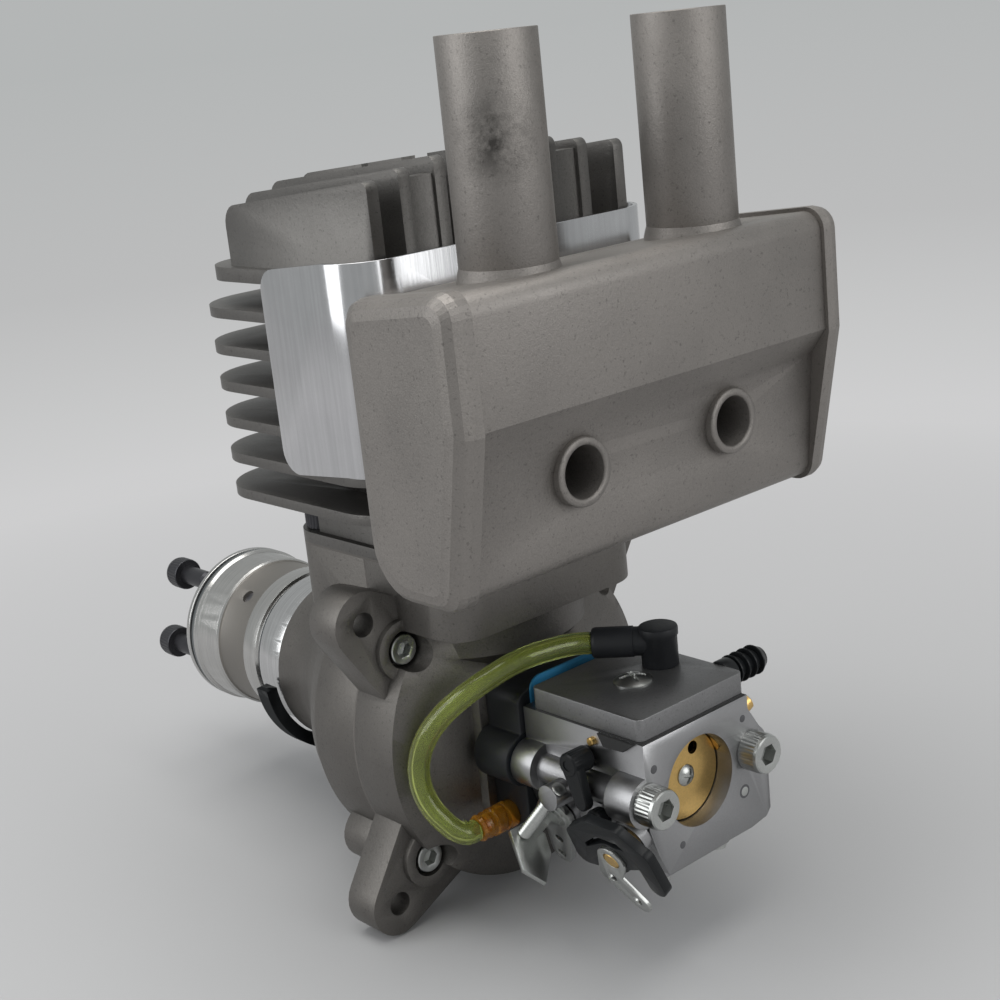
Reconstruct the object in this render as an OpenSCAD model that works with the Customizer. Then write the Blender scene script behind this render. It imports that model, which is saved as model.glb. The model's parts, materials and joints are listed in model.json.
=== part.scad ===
// Single-cylinder two-stroke petrol engine for model aircraft.
// Millimetres, +Z up the cylinder, +Y to the rear (carburettor and muffler), propeller hub at -Y.
// Origin: crankshaft axis where it meets the rear faces of the four mounting lugs.

/* [Crank train] */
// Cylinder bore diameter
bore_d = 39; // [36:0.5:41]
// Piston stroke
stroke = 30; // [26:0.5:31]
// Connecting rod length between pin centres
rod_len = 60; // [58:0.5:62]
// Distance from wrist pin to piston crown
crown_h = 17; // [15:0.5:18]
// Distance from wrist pin to skirt edge
skirt_h = 12; // [9:0.5:13]
// Radius of the crank web
web_r = 30; // [28:0.5:31]
// Thickness of the crank web
web_t = 9; // [7:0.5:10]
// Crank pin diameter
crank_pin_d = 12; // [10:0.5:13]
// Wrist pin diameter
wrist_pin_d = 10; // [8:0.5:11]
// Radial running clearance of rotating and sliding fits
run_fit = 0.05; // [0.03:0.01:0.08]

/* [Crankcase] */
// Cylinder axis in front of the lug faces
cyl_y = -9.5; // [-10.5:0.5:-8.5]
// Outer radius of the round crank chamber
case_r = 37; // [36:0.5:39]
// Inner radius of the crank chamber
chamber_r = 32.5; // [32:0.5:33]
// Front face of the nose
nose_y = -63; // [-68:1:-61]
// Outer radius of the nose
nose_r = 21; // [20.5:0.5:22]
// Height of the cylinder deck above the crank axis
deck_z = 42.7; // [41:0.1:46]
// Width of the square cylinder deck
deck_w = 56; // [55:1:60]
// Corner radius of the deck
deck_corner = 9; // [6:0.5:12]
// Depth of the deck block below its top face
deck_t = 14.7; // [12:0.1:16]
// Lug hole spacing across
lug_dx = 74; // [72:1:80]
// Lug hole spacing up
lug_dz = 65; // [63:1:70]
// Lug hole diameter
lug_hole_d = 5.3; // [4.3:0.1:5.5]
// Lug boss radius
lug_r = 7.2; // [6.5:0.1:8]
// Case screw spacing across
case_screw_dx = 56.8; // [56:0.2:58]
// Case screw spacing up
case_screw_dz = 49; // [48:0.5:50]
// Thickness of every gasket
gasket_t = 0.5; // [0.4:0.1:0.8]
// Rear face that the intake block seats on
intake_y = 12; // [11:0.5:13]

/* [Cylinder] */
// Half width of the cooling fins
fin_half = 39; // [37:0.5:39.5]
// Fin reach in front of the cylinder axis
fin_front = 39; // [35:0.5:42]
// Fin reach behind the cylinder axis
fin_rear = 25.5; // [24:0.5:25.5]
// Thickness of a fin
fin_t = 2.2; // [1.6:0.1:3]
// Height of the lowest fin
fin_z0 = 55.5; // [55:0.5:57]
// Fin pitch
fin_pitch = 8; // [7:0.1:8.2]
// Number of side fins below the head slab
fin_count = 6; // [5:1:6]
// Underside of the head slab
head_z = 103; // [103:0.5:106]
// Height of the head plates above the head slab, at the front
plate_front_h = 12.5; // [10:0.5:14]
// Height of the head plates above the head slab, at the rear
plate_rear_h = 17.5; // [14:0.5:20]
// Outer faces of the outermost head plates from the middle
plate_half = 34.5; // [33:0.5:36]
// Head plate thickness
plate_t = 2.8; // [2:0.1:3.5]
// Spark plug thread hole diameter
plug_d = 9; // [8.5:0.1:9.5]
// Exhaust bolt spacing
exhaust_dx = 41.8; // [40:0.2:44]
// Height of the exhaust port centre and bolts
exhaust_z = 68.6; // [68:0.1:69]
// Rear face of the exhaust flange
exhaust_y = 16.5; // [16:0.1:18]

/* [Muffler] */
// Overall muffler width
muffler_w = 106.6; // [104:0.2:112]
// Thickness of each cast end
muffler_end_t = 6; // [5:0.5:8]
// Wall thickness of the muffler
muffler_wall = 2.4; // [2:0.1:3]
// Top of the muffler
muffler_top = 107.5; // [106:0.5:110]
// Bottom of the muffler
muffler_bottom = 49.8; // [48:0.1:51]
// Front face of the muffler
muffler_front = 28.5; // [27:0.1:30]
// Rear face of the upper muffler chamber
muffler_rear = 57.5; // [56:0.5:60]
// Height of the step in the rear face
muffler_step_z = 79.8; // [78:0.2:82]
// Depth of the step in the rear face
muffler_step = 4; // [3:0.1:5]
// Spacing of the two exhaust stacks
stack_dx = 49.7; // [46:0.1:52]
// Distance of the stacks behind the lug faces
stack_y = 43.3; // [42:0.1:44]
// Stack outer diameter
stack_d = 18.5; // [17:0.1:20]
// Stack wall thickness
stack_wall = 1.2; // [1:0.1:2]
// Top of the stacks
stack_top = 148.5; // [140:0.5:160]
// Heat shield half width
shield_half = 41.5; // [41:0.1:42]
// Heat shield sheet thickness
shield_t = 1; // [0.8:0.1:1]

/* [Carburettor] */
// Carburettor bolt spacing
carb_dx = 31; // [30:0.5:32]
// Front face of the carburettor
carb_y0 = 23; // [22.5:0.1:24]
// Length of the carburettor body
carb_len = 34.5; // [33:0.5:36]
// Height of the carburettor bore axis
carb_z = -1; // [-2:0.1:0]
// Throttle and choke bore diameter
carb_bore_d = 19.3; // [18:0.1:20]
// Venturi diameter
venturi_d = 14.3; // [12:0.1:16]
// Throttle shaft behind the front face
throttle_dy = 9.2; // [9:0.1:9.6]
// Choke shaft in front of the rear face
choke_dy = 4.6; // [4.4:0.1:5]
// Diameter of the throttle and choke shafts
shaft_d = 4; // [3.5:0.1:4.2]
// Slope of both shafts, down to the lever side and clear of the bolts
shaft_tilt = 24; // [23:0.5:27]
// Body width under the pump cover
carb_body_w = 31; // [30:0.5:32]
// Top face of the carburettor body
carb_top = 12.2; // [12:0.1:12.6]
// Height of the pump cover
pump_cover_h = 4.6; // [4:0.1:6]
// Underside of the carburettor body
carb_bottom = -17.5; // [-18:0.1:-17]
// Height of the metering cover
metering_cover_h = 3.4; // [3:0.1:4]

/* [Propeller hub] */
// Front face of the hub
hub_front = -104.5; // [-107:0.5:-103]
// Largest hub radius
hub_r = 20.5; // [20:0.1:22]
// Gap between nose and hub
hub_gap = 0.6; // [0.3:0.1:1]
// Propeller washer thickness
washer_t = 1.5; // [1:0.1:3]
// Propeller bolt circle diameter
prop_pcd = 27; // [24:0.5:28]
// Front end of the propeller bolt heads
prop_bolt_front = -130; // [-134:1:-122]
// Angle of the first propeller bolt from +X
prop_angle = 62; // [0:1:90]

/* [Hidden] */
$fn = 48;
eps = 0.01;
throw = stroke/2;
bore_r = bore_d/2;
wrist_z = rod_len - throw;
split_front = cyl_y - gasket_t/2;
split_rear = cyl_y + gasket_t/2;
sleeve_r = bore_r + 3.3;
sleeve_gap = 0.15;
pocket_r = sleeve_r + sleeve_gap;
pocket_wall = 2.6;
pocket_z0 = chamber_r*0.6;
web_y1 = cyl_y - 4.8;
web_y0 = web_y1 - web_t;
chamber_y0 = web_y0 - 1.4;
chamber_y1 = 3;
rod_t = 9;
boss_y = rod_t/2 + 0.6;
journal_rear_r = 8.5;
journal_front_r = 7.5;
rear_bearing_r = 17.5;
rear_bearing_t = 10;
rear_bearing_y0 = chamber_y0 - rear_bearing_t;
front_bearing_r = 16;
front_bearing_t = 9;
front_bearing_y0 = nose_y + 2.5;
front_bearing_y1 = front_bearing_y0 + front_bearing_t;
hub_shaft_r = 6;
deck_half = deck_w/2;
deck_under = deck_z - deck_t;
m4_head_r = 3.5;
m4_head_h = 4;
m4_r = 2;
m5_head_r = 4.25;
m5_head_h = 5;
m5_r = 2.5;
m3_head_r = 2.75;
screw_gap = 0.15;
case_screws = [for (sx = [-1, 1], sz = [-1, 1]) [sx*case_screw_dx/2, sz*case_screw_dz/2]];
lugs = [for (sx = [-1, 1], sz = [-1, 1]) [sx*lug_dx/2, sz*lug_dz/2]];
case_screw_seat = -2.5;
base_z0 = deck_z + gasket_t;
base_t = 2.5;
shoulder_t = 4.8;
shoulder_inset = 1.6;
hold_dx = deck_w - 11;
hold_dy = deck_w - 14;
hold_screws = [for (sx = [-1, 1], sy = [-1, 1]) [sx*hold_dx/2, cyl_y + sy*hold_dy/2]];
barrel_r = 25.5;
slab_t = 3;
slab_inset = 2.4;
fin_corner = 14;
squish_z = rod_len + throw + crown_h + 0.8;
flange_half = 29;
flange_h = 23;
port_depth = 2;
port_w = 25;
port_h = 11.5;
shield_y0 = exhaust_y + gasket_t;
shield_y1 = shield_y0 + shield_t;
tube_r = 6.7;
tube_bore_r = 5.05;
muffler_half = muffler_w/2;
shell_half = muffler_half - muffler_end_t;
tube_floor_y = muffler_front + muffler_wall;
tube_rear_y = 54.4;
stack_foot = muffler_top - 5;
stack_seat = muffler_top;
stack_foot_r = stack_d/2 - 0.4;
carb_y1 = carb_y0 + carb_len;
throttle_y = carb_y0 + throttle_dy;
choke_y = carb_y1 - choke_dy;
carb_r = carb_bore_d/2;
insulator_y1 = carb_y0 - gasket_t;
cover_z0 = carb_top + gasket_t;
cover_z1 = cover_z0 + pump_cover_h;
cover_len = carb_len - 3.5;
cover_mid = carb_y1 - 0.5 - cover_len/2;
metering_z1 = carb_bottom - gasket_t;
metering_z0 = metering_z1 - metering_cover_h;
hub_rear = nose_y - hub_gap;
washer_y0 = hub_front - washer_t;
sensor_turn = 75;
sensor_r = nose_r + 3.5;
sensor_t = 4.5;
sensor_screw_dy = [3.4, 9.6];
m3_r = 1.5;
side_x = carb_body_w/2;
shaft_boss_end = 17.8;
spring_boss_end = 19.6;
plate_half_t = 0.5;
lever_tip = [-5.6, -14.5];
throttle_lever_x = 18.2;
throttle_lever_t = 1.4;
choke_lever_x = 21.6;
choke_lever_t = 2.2;
choke_arm_t = 0.8;
idle_x = 21.6;
idle_r = 1.5;
needle_r = 1.2;
idle_low = [26, -14];
idle_high = [38.6, 0.2];
idle_lug = idle_low + 0.86*(idle_high - idle_low);
high_needle = [42, 6.2];
low_needle = [45.3, -6.4];
high_cap_end = 21.8;
low_cap_end = 19;
inlet_y = 50.5;
inlet_z = 14.8;
inlet_end = -28;
elbow_foot = [-9, 40];
elbow_z = 22.6;
elbow_dir = [0.64, -0.77];
elbow_reach = 14;
fitting_y = 16.5;
fitting_z = -13.8;
insulator_half = 16.5;
cage_w = 25.4;
cage_h = 30;
fitting_end = 26.5;
hose_r = 2.4;
// Free route of the pulse hose, from the elbow round to the fitting
hose_route = [[0.05, 29.1, 22.6], [1.3, 27.6, 22.6], [4.3, 26, 22.8], [8, 24.8, 22.8], [12, 23.5, 22.6],
    [16, 22, 21.8], [20, 20.2, 20.2], [24, 18, 18], [27.5, 15.4, 15.2], [30.3, 12.8, 11.8],
    [32.3, 10.7, 8], [33.5, 9.3, 4], [34, 8.8, 0], [34, 9.4, -4], [33.4, 11, -7.6], [32.3, 13, -10.4],
    [30.7, 15.2, -12.8], [28.6, 16.5, -13.8], [fitting_end + 0.2, fitting_y, fitting_z]];

// Profile drawn in X and Z, filled from y0 to y1
module plate_y(y0, y1) translate([0, y1, 0]) rotate([90, 0, 0]) linear_extrude(y1 - y0) children();

// Profile drawn in Y and Z, filled from x0 to x1
module plate_x(x0, x1) translate([x0, 0, 0]) rotate([90, 0, 90]) linear_extrude(x1 - x0) children();

module rod_x(r, x0, x1, y, z) translate([x0, y, z]) rotate([0, 90, 0]) cylinder(r = r, h = x1 - x0);

module rod_y(r, y0, y1, x = 0, z = 0)
    translate([x, y1, z]) rotate([90, 0, 0]) cylinder(r = r, h = y1 - y0);

// Solid of revolution about the crank axis; points are [radius, y]
module turned_y(points) rotate([-90, 0, 0]) rotate_extrude($fn = 72) polygon(points);

module box(low, high) translate(low) cube(high - low);

// Frame of a carburettor shaft: X along the shaft toward its lever, origin on the bore axis
module on_shaft(y) translate([0, y, carb_z]) rotate([0, shaft_tilt, 0]) children();

// Rectangle with four round corners
module round_rect(w, h, r) {
    square([w - 2*r, h], center = true);
    square([w, h - 2*r], center = true);
    for (sx = [-1, 1], sy = [-1, 1]) translate([sx*(w/2 - r), sy*(h/2 - r)]) circle(r);
}

// Outline of two circles joined by their outer tangents
function link_points(a, ra, b, rb) = let (
    d = b - a, turn = atan2(d[1], d[0]), lean = acos((ra - rb)/norm(d))) concat(
    [for (i = [0:12]) let (w = turn + lean + i*(360 - 2*lean)/12) a + ra*[cos(w), sin(w)]],
    [for (i = [0:12]) let (w = turn - lean + i*2*lean/12) b + rb*[cos(w), sin(w)]]);

module link(a, ra, b, rb) polygon(link_points(a, ra, b, rb));

// Socket head cap screw; head top at the origin, shank down -Z
module cap_screw(head_r, head_h, shank_r, length) {
    difference() {
        cylinder(r = head_r, h = head_h);
        translate([0, 0, head_h*0.45]) cylinder(r = head_r*0.56, h = head_h, $fn = 6);
    }
    translate([0, 0, -length]) cylinder(r = shank_r, h = length + eps);
}

// Cap screw whose head bears at y and points to the rear
module cap_screw_y(x, y, z, head_r, head_h, shank_r, length)
    translate([x, y, z]) rotate([-90, 0, 0]) cap_screw(head_r, head_h, shank_r, length);

// Deep-groove ball bearing on the crank axis, from y0 to y0 + t
module ball_bearing(y0, t, inner_r, outer_r, balls) {
    mid = (inner_r + outer_r)/2;
    ball_r = (outer_r - inner_r)*0.27;
    groove_r = ball_r + 0.06;
    land = ball_r*0.62;
    difference() {
        turned_y([[inner_r, y0], [mid - land, y0], [mid - land, y0 + t], [inner_r, y0 + t]]);
        translate([0, y0 + t/2, 0]) rotate([90, 0, 0]) rotate_extrude() translate([mid, 0]) circle(groove_r);
    }
    difference() {
        turned_y([[mid + land, y0], [outer_r, y0], [outer_r, y0 + t], [mid + land, y0 + t]]);
        translate([0, y0 + t/2, 0]) rotate([90, 0, 0]) rotate_extrude() translate([mid, 0]) circle(groove_r);
    }
    for (i = [0:balls - 1])
        rotate([0, i*360/balls, 0]) translate([mid, y0 + t/2, 0]) sphere(ball_r, $fn = 24);
}

module deck_outline(half, corner) translate([0, cyl_y]) round_rect(2*half, 2*half, corner);

// Outline of the joint between the two case halves, in X and Z
module joint_outline() {
    circle(case_r);
    for (p = case_screws) link(p, 6.4, p*0.6, 8);
    translate([-deck_half, deck_under]) square([deck_w, deck_t]);
    translate([-deck_half + 4, 0]) square([deck_w - 8, deck_under + eps]);
}

// Chamber, cylinder spigot pocket and hold-down holes, cut from both halves and the gasket
module case_hollows() {
    rod_y(chamber_r, chamber_y0, chamber_y1);
    translate([0, cyl_y, pocket_z0]) cylinder(r = pocket_r, h = deck_z);
    for (p = hold_screws) translate([p[0], p[1], deck_z - 12]) cylinder(r = m5_r, h = 13);
}

// Solid form of the nose and the front half of the round case
module nose_form() turned_y([[0, nose_y], [nose_r - 1, nose_y], [nose_r, nose_y + 1], [nose_r, -54],
    [nose_r + 2, -47], [nose_r + 7, -38], [case_r - 3, -30], [case_r, -24],
    [case_r, split_front], [0, split_front]]);

module crankcase_front() color([0.62, 0.61, 0.59]) difference() {
    union() {
        nose_form();
        intersection() {
            translate([0, 0, deck_under]) linear_extrude(deck_t) deck_outline(deck_half, deck_corner);
            box([-deck_w, -99, 0], [deck_w, split_front, 99]);
        }
        intersection() {
            linear_extrude(deck_under + eps) deck_outline(deck_half - 3, deck_corner - 2);
            box([-deck_w, -99, 0], [deck_w, split_front, 99]);
        }
        plate_y(split_front - 6, split_front) difference() {
            joint_outline();
            translate([-99, deck_under]) square([198, 99]);
        }
        plate_y(split_front - 12, split_front - 5) for (p = case_screws) link(p, 6.4, p*0.6, 8);
    }
    case_hollows();
    rod_y(rear_bearing_r, rear_bearing_y0, chamber_y0 + 1);
    rod_y(journal_rear_r + 2.5, front_bearing_y1 - 1, rear_bearing_y0 + 1);
    rod_y(front_bearing_r, front_bearing_y0, front_bearing_y1);
    rod_y(12, nose_y - 1, front_bearing_y0 + 1);
    for (p = case_screws) rod_y(m4_r, split_front - 11, split_front + 1, p[0], p[1]);
    rotate([0, sensor_turn, 0]) for (dy = sensor_screw_dy)
        rod_x(m3_r, nose_r - 3.2, nose_r + 3, nose_y + dy, 0);
}

module crankcase_rear() color([0.6, 0.59, 0.57]) difference() {
    union() {
        plate_y(split_rear, chamber_y1 + 1) circle(case_r);
        turned_y([[0, chamber_y1], [case_r - 0.01, chamber_y1 + 1 - eps], [case_r - 3, chamber_y1 + 3],
            [22, intake_y - 2.5], [0, intake_y - 2.5]]);
        plate_y(split_rear, 0) for (p = lugs) link(p, lug_r, p*0.42, 15);
        plate_y(split_rear, case_screw_seat + m4_head_h) for (p = case_screws) link(p, 6.6, p*0.6, 8);
        plate_y(0, intake_y) translate([0, carb_z]) round_rect(2*insulator_half + 4, 34, 5);
        intersection() {
            translate([0, 0, deck_under]) linear_extrude(deck_t) deck_outline(deck_half, deck_corner);
            box([-deck_w, split_rear, 0], [deck_w, 99, 99]);
        }
        plate_y(split_rear, chamber_y1 + 1)
            translate([-deck_half + 4, 0]) square([deck_w - 8, deck_under + eps]);
        intersection() {
            translate([0, cyl_y, 0]) rotate_extrude($fn = 96) polygon([[0, pocket_z0 - 9],
                [pocket_r - 1, pocket_z0 - 2.5], [pocket_r + pocket_wall, pocket_z0 + 1],
                [pocket_r + pocket_wall, deck_under + eps], [0, deck_under + eps]]);
            box([-deck_w, split_rear, 0], [deck_w, 99, 99]);
        }
    }
    case_hollows();
    for (p = lugs) rod_y(lug_hole_d/2, split_rear - 1, 1, p[0], p[1]);
    for (p = case_screws) {
        rod_y(m4_r + screw_gap, split_rear - 1, 9, p[0], p[1]);
        rod_y(m4_head_r + 0.7, case_screw_seat, 20, p[0], p[1]);
    }
    plate_y(chamber_y1 - 1, intake_y + 1) translate([0, carb_z]) round_rect(22, 24, 2.5);
    for (s = [-1, 1]) rod_y(m5_r, chamber_y1 + 1.5, intake_y + 1, s*carb_dx/2, carb_z + 1);
}

module crankcase_gasket() color([0.35, 0.33, 0.3]) difference() {
    plate_y(split_front, split_rear) joint_outline();
    case_hollows();
    for (p = case_screws) rod_y(m4_r + screw_gap, split_front - 1, split_rear + 1, p[0], p[1]);
}

module crankcase_screws() color([0.75, 0.76, 0.74]) for (p = case_screws)
    cap_screw_y(p[0], case_screw_seat, p[1], m4_head_r, m4_head_h, m4_r, case_screw_seat - split_front + 10);

// Outline of one fin with its round corners
module fin_outline(inset) {
    w = 2*(fin_half - inset);
    h = fin_front + fin_rear - inset;
    translate([0, cyl_y + fin_rear - h/2]) round_rect(w, h, fin_corner - inset);
}

module head_plate(x, y0, y1, up) plate_x(x - plate_t/2, x + plate_t/2) {
    top = head_z + slab_t;
    rise = (plate_rear_h - plate_front_h)/(y1 - y0);
    r = 4.5;
    polygon(concat(
        [[y0, top - eps], [y1, top - eps]],
        [for (a = [0:15:90]) [y1 - r*0.4 + r*0.4*cos(a), top + up + plate_rear_h - r*0.4 + r*0.4*sin(a)]],
        [for (a = [90:15:180])
            [y0 + r + r*cos(a), top + up + plate_front_h + rise*r - r + r*sin(a)]]));
}

module cylinder_body() color([0.58, 0.57, 0.55]) difference() {
    union() {
        translate([0, cyl_y, deck_z - 14]) cylinder(r = sleeve_r, h = 15);
        translate([0, 0, base_z0]) linear_extrude(base_t) deck_outline(deck_half, deck_corner);
        difference() {
            translate([0, 0, base_z0 + base_t - eps]) linear_extrude(shoulder_t)
                deck_outline(deck_half - shoulder_inset, deck_corner - shoulder_inset);
            for (p = hold_screws) translate([p[0], p[1], base_z0 + base_t])
                cylinder(r = m5_head_r + 0.9, h = shoulder_t + 1);
        }
        translate([0, cyl_y, base_z0]) cylinder(r = barrel_r, h = head_z - base_z0 + slab_t);
        for (i = [0:fin_count - 1])
            translate([0, 0, fin_z0 + i*fin_pitch]) linear_extrude(fin_t) fin_outline(0);
        translate([0, 0, head_z]) linear_extrude(slab_t) fin_outline(slab_inset);
        plate_y(cyl_y, exhaust_y) translate([0, exhaust_z]) round_rect(2*flange_half, flange_h, 4);
        translate([0, cyl_y, head_z]) cylinder(r = 11, h = slab_t + 3);
        difference() {
            for (s = [-1, 1]) {
                head_plate(s*(plate_half - plate_t/2), cyl_y - 25, cyl_y + 25.5, 0);
                head_plate(s*(plate_half - 10.5), cyl_y - 31, cyl_y + 24, 1.3);
                head_plate(s*(plate_half - 19.5), cyl_y - 34, cyl_y + 24, 2.6);
                head_plate(s*(plate_half - 28.5), cyl_y - 35, cyl_y + 24, 3.2);
                translate([s*(plate_half - 15), cyl_y + 21.8, head_z + slab_t + plate_rear_h/2 - 0.6])
                    cube([9, plate_t, plate_rear_h], center = true);
            }
            translate([0, cyl_y, head_z + slab_t + 0.5]) cylinder(r = 13.5, h = 30);
        }
    }
    translate([0, cyl_y, deck_z - 15]) cylinder(r = bore_r, h = squish_z - deck_z + 15, $fn = 96);
    translate([0, cyl_y, squish_z - 5]) sphere(13.2);
    translate([0, cyl_y, squish_z]) cylinder(r = plug_d/2, h = 40);
    box([-bore_r - port_depth, cyl_y - 7, deck_z - 15],
        [bore_r + port_depth, cyl_y + 7, wrist_z + crown_h + 8]);
    box([-port_w/2, cyl_y + 4, exhaust_z - port_h/2], [port_w/2, exhaust_y + 1, exhaust_z + port_h/2]);
    for (s = [-1, 1]) rod_y(m5_r, exhaust_y - 13, exhaust_y + 1, s*exhaust_dx/2, exhaust_z);
    for (p = hold_screws) translate([p[0], p[1], base_z0 - 1]) cylinder(r = m5_r + screw_gap, h = base_t + 2);
}

module cylinder_gasket() color([0.35, 0.33, 0.3]) difference() {
    translate([0, 0, deck_z]) linear_extrude(gasket_t) deck_outline(deck_half, deck_corner);
    translate([0, cyl_y, deck_z - 1]) cylinder(r = sleeve_r + sleeve_gap, h = 3);
    for (p = hold_screws) translate([p[0], p[1], deck_z - 1]) cylinder(r = m5_r + screw_gap, h = 3);
}

module cylinder_screws() color([0.2, 0.2, 0.21]) for (p = hold_screws)
    translate([p[0], p[1], base_z0 + base_t]) cap_screw(m5_head_r, m5_head_h, m5_r, base_t + gasket_t + 11);

// Openings of the exhaust joint, shared by gasket, shield and muffler neck
module exhaust_holes(y0, y1) {
    plate_y(y0, y1) translate([0, exhaust_z]) square([port_w, port_h], center = true);
    for (s = [-1, 1]) rod_y(m5_r + screw_gap, y0, y1, s*exhaust_dx/2, exhaust_z);
}

module exhaust_gasket() color([0.3, 0.28, 0.26]) difference() {
    plate_y(exhaust_y, shield_y0) translate([0, exhaust_z]) round_rect(2*flange_half, flange_h, 4);
    exhaust_holes(exhaust_y - 1, shield_y0 + 1);
}

module heat_shield() color([0.85, 0.87, 0.9]) {
    top = 109;
    low = 66.5;
    wing_y = -14;
    bend = 10;
    difference() {
        intersection() {
            difference() {
                linear_extrude(top) translate([0, shield_y1 - 30]) round_rect(2*shield_half, 60, bend);
                translate([0, 0, -1]) linear_extrude(top + 2) translate([0, shield_y0 - 30])
                    round_rect(2*(shield_half - shield_t), 60, bend - shield_t);
            }
            plate_x(-99, 99) polygon(concat(
                [for (a = [180:15:270]) [wing_y + 5 + 5*cos(a), low + 3.4 + 5*sin(a)]],
                [[shield_y1 - bend, low], [shield_y1 + 1, low], [shield_y1 + 1, top], [shield_y1 - bend, top]],
                [for (a = [90:15:180]) [wing_y + 5 + 5*cos(a), top - 6.6 + 5*sin(a)]]));
        }
        exhaust_holes(shield_y0 - 1, shield_y1 + 1);
    }
}

// Outline of the muffler chamber in Y and Z, moved inward by d
function muffler_points(d) = let (
        rf = 4 - d*0.6, front = muffler_front + d, top = muffler_top - d, low = muffler_bottom + d,
        up = muffler_rear - d, mid = muffler_rear - muffler_step - d, lean = 2.2) concat(
    [for (a = [180:15:270]) [front + 9 + 9*cos(a), low + 9 + 9*sin(a)]],
    [for (a = [270:15:360]) [mid - lean - rf + rf*cos(a), low + rf + rf*sin(a)]],
    [[mid, muffler_step_z - 2.6 + d*0.5], [mid + muffler_step, muffler_step_z + 2.6 + d*0.5]],
    [for (a = [0:15:90]) [up - rf + rf*cos(a), top - 1 - rf + rf*sin(a)]],
    [for (a = [90:15:180]) [front + rf + rf*cos(a), top - 3 - rf + rf*sin(a)]]);

module muffler_shell() color([0.55, 0.53, 0.51]) difference() {
    union() {
        difference() {
            plate_x(-shell_half, shell_half) polygon(muffler_points(0));
            plate_x(-shell_half - 1, shell_half + 1) polygon(muffler_points(muffler_wall));
        }
        plate_y(shield_y1, muffler_front + muffler_wall) translate([0, exhaust_z])
            round_rect(2*flange_half, flange_h, 4);
    }
    exhaust_holes(shield_y1 - 1, muffler_front + muffler_wall + 1);
    for (s = [-1, 1]) {
        rod_y(tube_r + eps, tube_floor_y + 5, 70, s*exhaust_dx/2, exhaust_z);
        translate([s*stack_dx/2, stack_y, stack_foot - 1]) cylinder(r = stack_foot_r + eps, h = 20);
    }
}

module muffler_end_plates() color([0.57, 0.55, 0.53]) for (s = [-1, 1]) {
    edge = 3.6;
    hull() {
        plate_x(min(s*shell_half, s*(muffler_half - edge)), max(s*shell_half, s*(muffler_half - edge)))
            polygon(muffler_points(-0.8));
        for (a = [30, 60, 90]) {
            x = s*(muffler_half - edge + edge*sin(a));
            plate_x(x - 0.02*(1 + s), x + 0.02*(1 - s)) polygon(muffler_points(edge*(1 - cos(a)) - 0.8));
        }
    }
}

module muffler_bolt_tubes() color([0.6, 0.58, 0.56]) for (s = [-1, 1]) difference() {
    rod_y(tube_r, tube_floor_y, tube_rear_y, s*exhaust_dx/2, exhaust_z);
    rod_y(tube_bore_r, tube_floor_y - 1, tube_rear_y + 1, s*exhaust_dx/2, exhaust_z);
}

module muffler_screws() color([0.2, 0.2, 0.21]) for (s = [-1, 1])
    cap_screw_y(s*exhaust_dx/2, tube_floor_y, exhaust_z, m5_head_r, m5_head_h, m5_r,
        tube_floor_y - exhaust_y + 12);

module exhaust_stacks() color([0.52, 0.5, 0.48]) for (s = [-1, 1])
    translate([s*stack_dx/2, stack_y, 0]) difference() {
        union() {
            translate([0, 0, stack_foot])
                cylinder(r = stack_foot_r, h = stack_seat - stack_foot + eps, $fn = 96);
            translate([0, 0, stack_seat]) cylinder(r = stack_d/2, h = stack_top - stack_seat, $fn = 96);
        }
        translate([0, 0, stack_foot - 1])
            cylinder(r = stack_d/2 - stack_wall, h = stack_top - stack_foot + 2, $fn = 96);
    }

module rear_bearing() color([0.7, 0.71, 0.73])
    ball_bearing(rear_bearing_y0, rear_bearing_t, journal_rear_r + run_fit, rear_bearing_r, 9);

module front_bearing() color([0.7, 0.71, 0.73])
    ball_bearing(front_bearing_y0, front_bearing_t, journal_front_r + run_fit, front_bearing_r, 9);

module shaft_seal() color([0.12, 0.12, 0.13])
    turned_y([[journal_front_r + run_fit, nose_y], [12, nose_y], [12, front_bearing_y0],
        [journal_front_r + run_fit, front_bearing_y0]]);

// Hall sensor: a curved bar along the nose's front rim, on a foot screwed to the nose from below
module ignition_sensor() color([0.1, 0.1, 0.11]) difference() {
    union() {
        plate_y(nose_y - sensor_t, nose_y) intersection() {
            circle(sensor_r);
            polygon([[0, 0], for (a = [-5, -40, -80]) 40*[cos(a), sin(a)]]);
        }
        rotate([0, sensor_turn, 0]) box([nose_r - 1, nose_y - sensor_t, -4.5], [sensor_r, nose_y + 14, 4.5]);
    }
    rotate([0, sensor_turn, 0]) for (dy = sensor_screw_dy)
        rod_x(m3_r + screw_gap, nose_r - 2, sensor_r + 1, nose_y + dy, 0);
    nose_form();
    rod_y(hub_r + 1, nose_y - 20, nose_y + eps);
}

module sensor_screws() color([0.75, 0.76, 0.74]) rotate([0, sensor_turn, 0]) for (dy = sensor_screw_dy)
    translate([sensor_r, nose_y + dy, 0]) rotate([0, 90, 0]) cap_screw(m3_head_r, 2, m3_r, 6.4);

module reed_cage() color([0.5, 0.51, 0.53]) difference() {
    union() {
        plate_y(intake_y, intake_y + 3) translate([0, carb_z]) round_rect(cage_w, cage_h, 4);
        plate_y(5.5, intake_y + 1) translate([0, carb_z]) round_rect(20, 22, 2);
    }
    plate_y(6.5, intake_y + 4) translate([0, carb_z]) square([16, 17], center = true);
    for (s = [-1, 1]) box([s*4.6 - 3.2, 4, carb_z - 7], [s*4.6 + 3.2, 8, carb_z + 7]);
}

module reed_petals() color([0.15, 0.15, 0.16]) for (s = [-1, 1])
    box([s*4.7 - 4, 5.1, carb_z - 8.5], [s*4.7 + 4, 5.5, carb_z + 8.5]);

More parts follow.
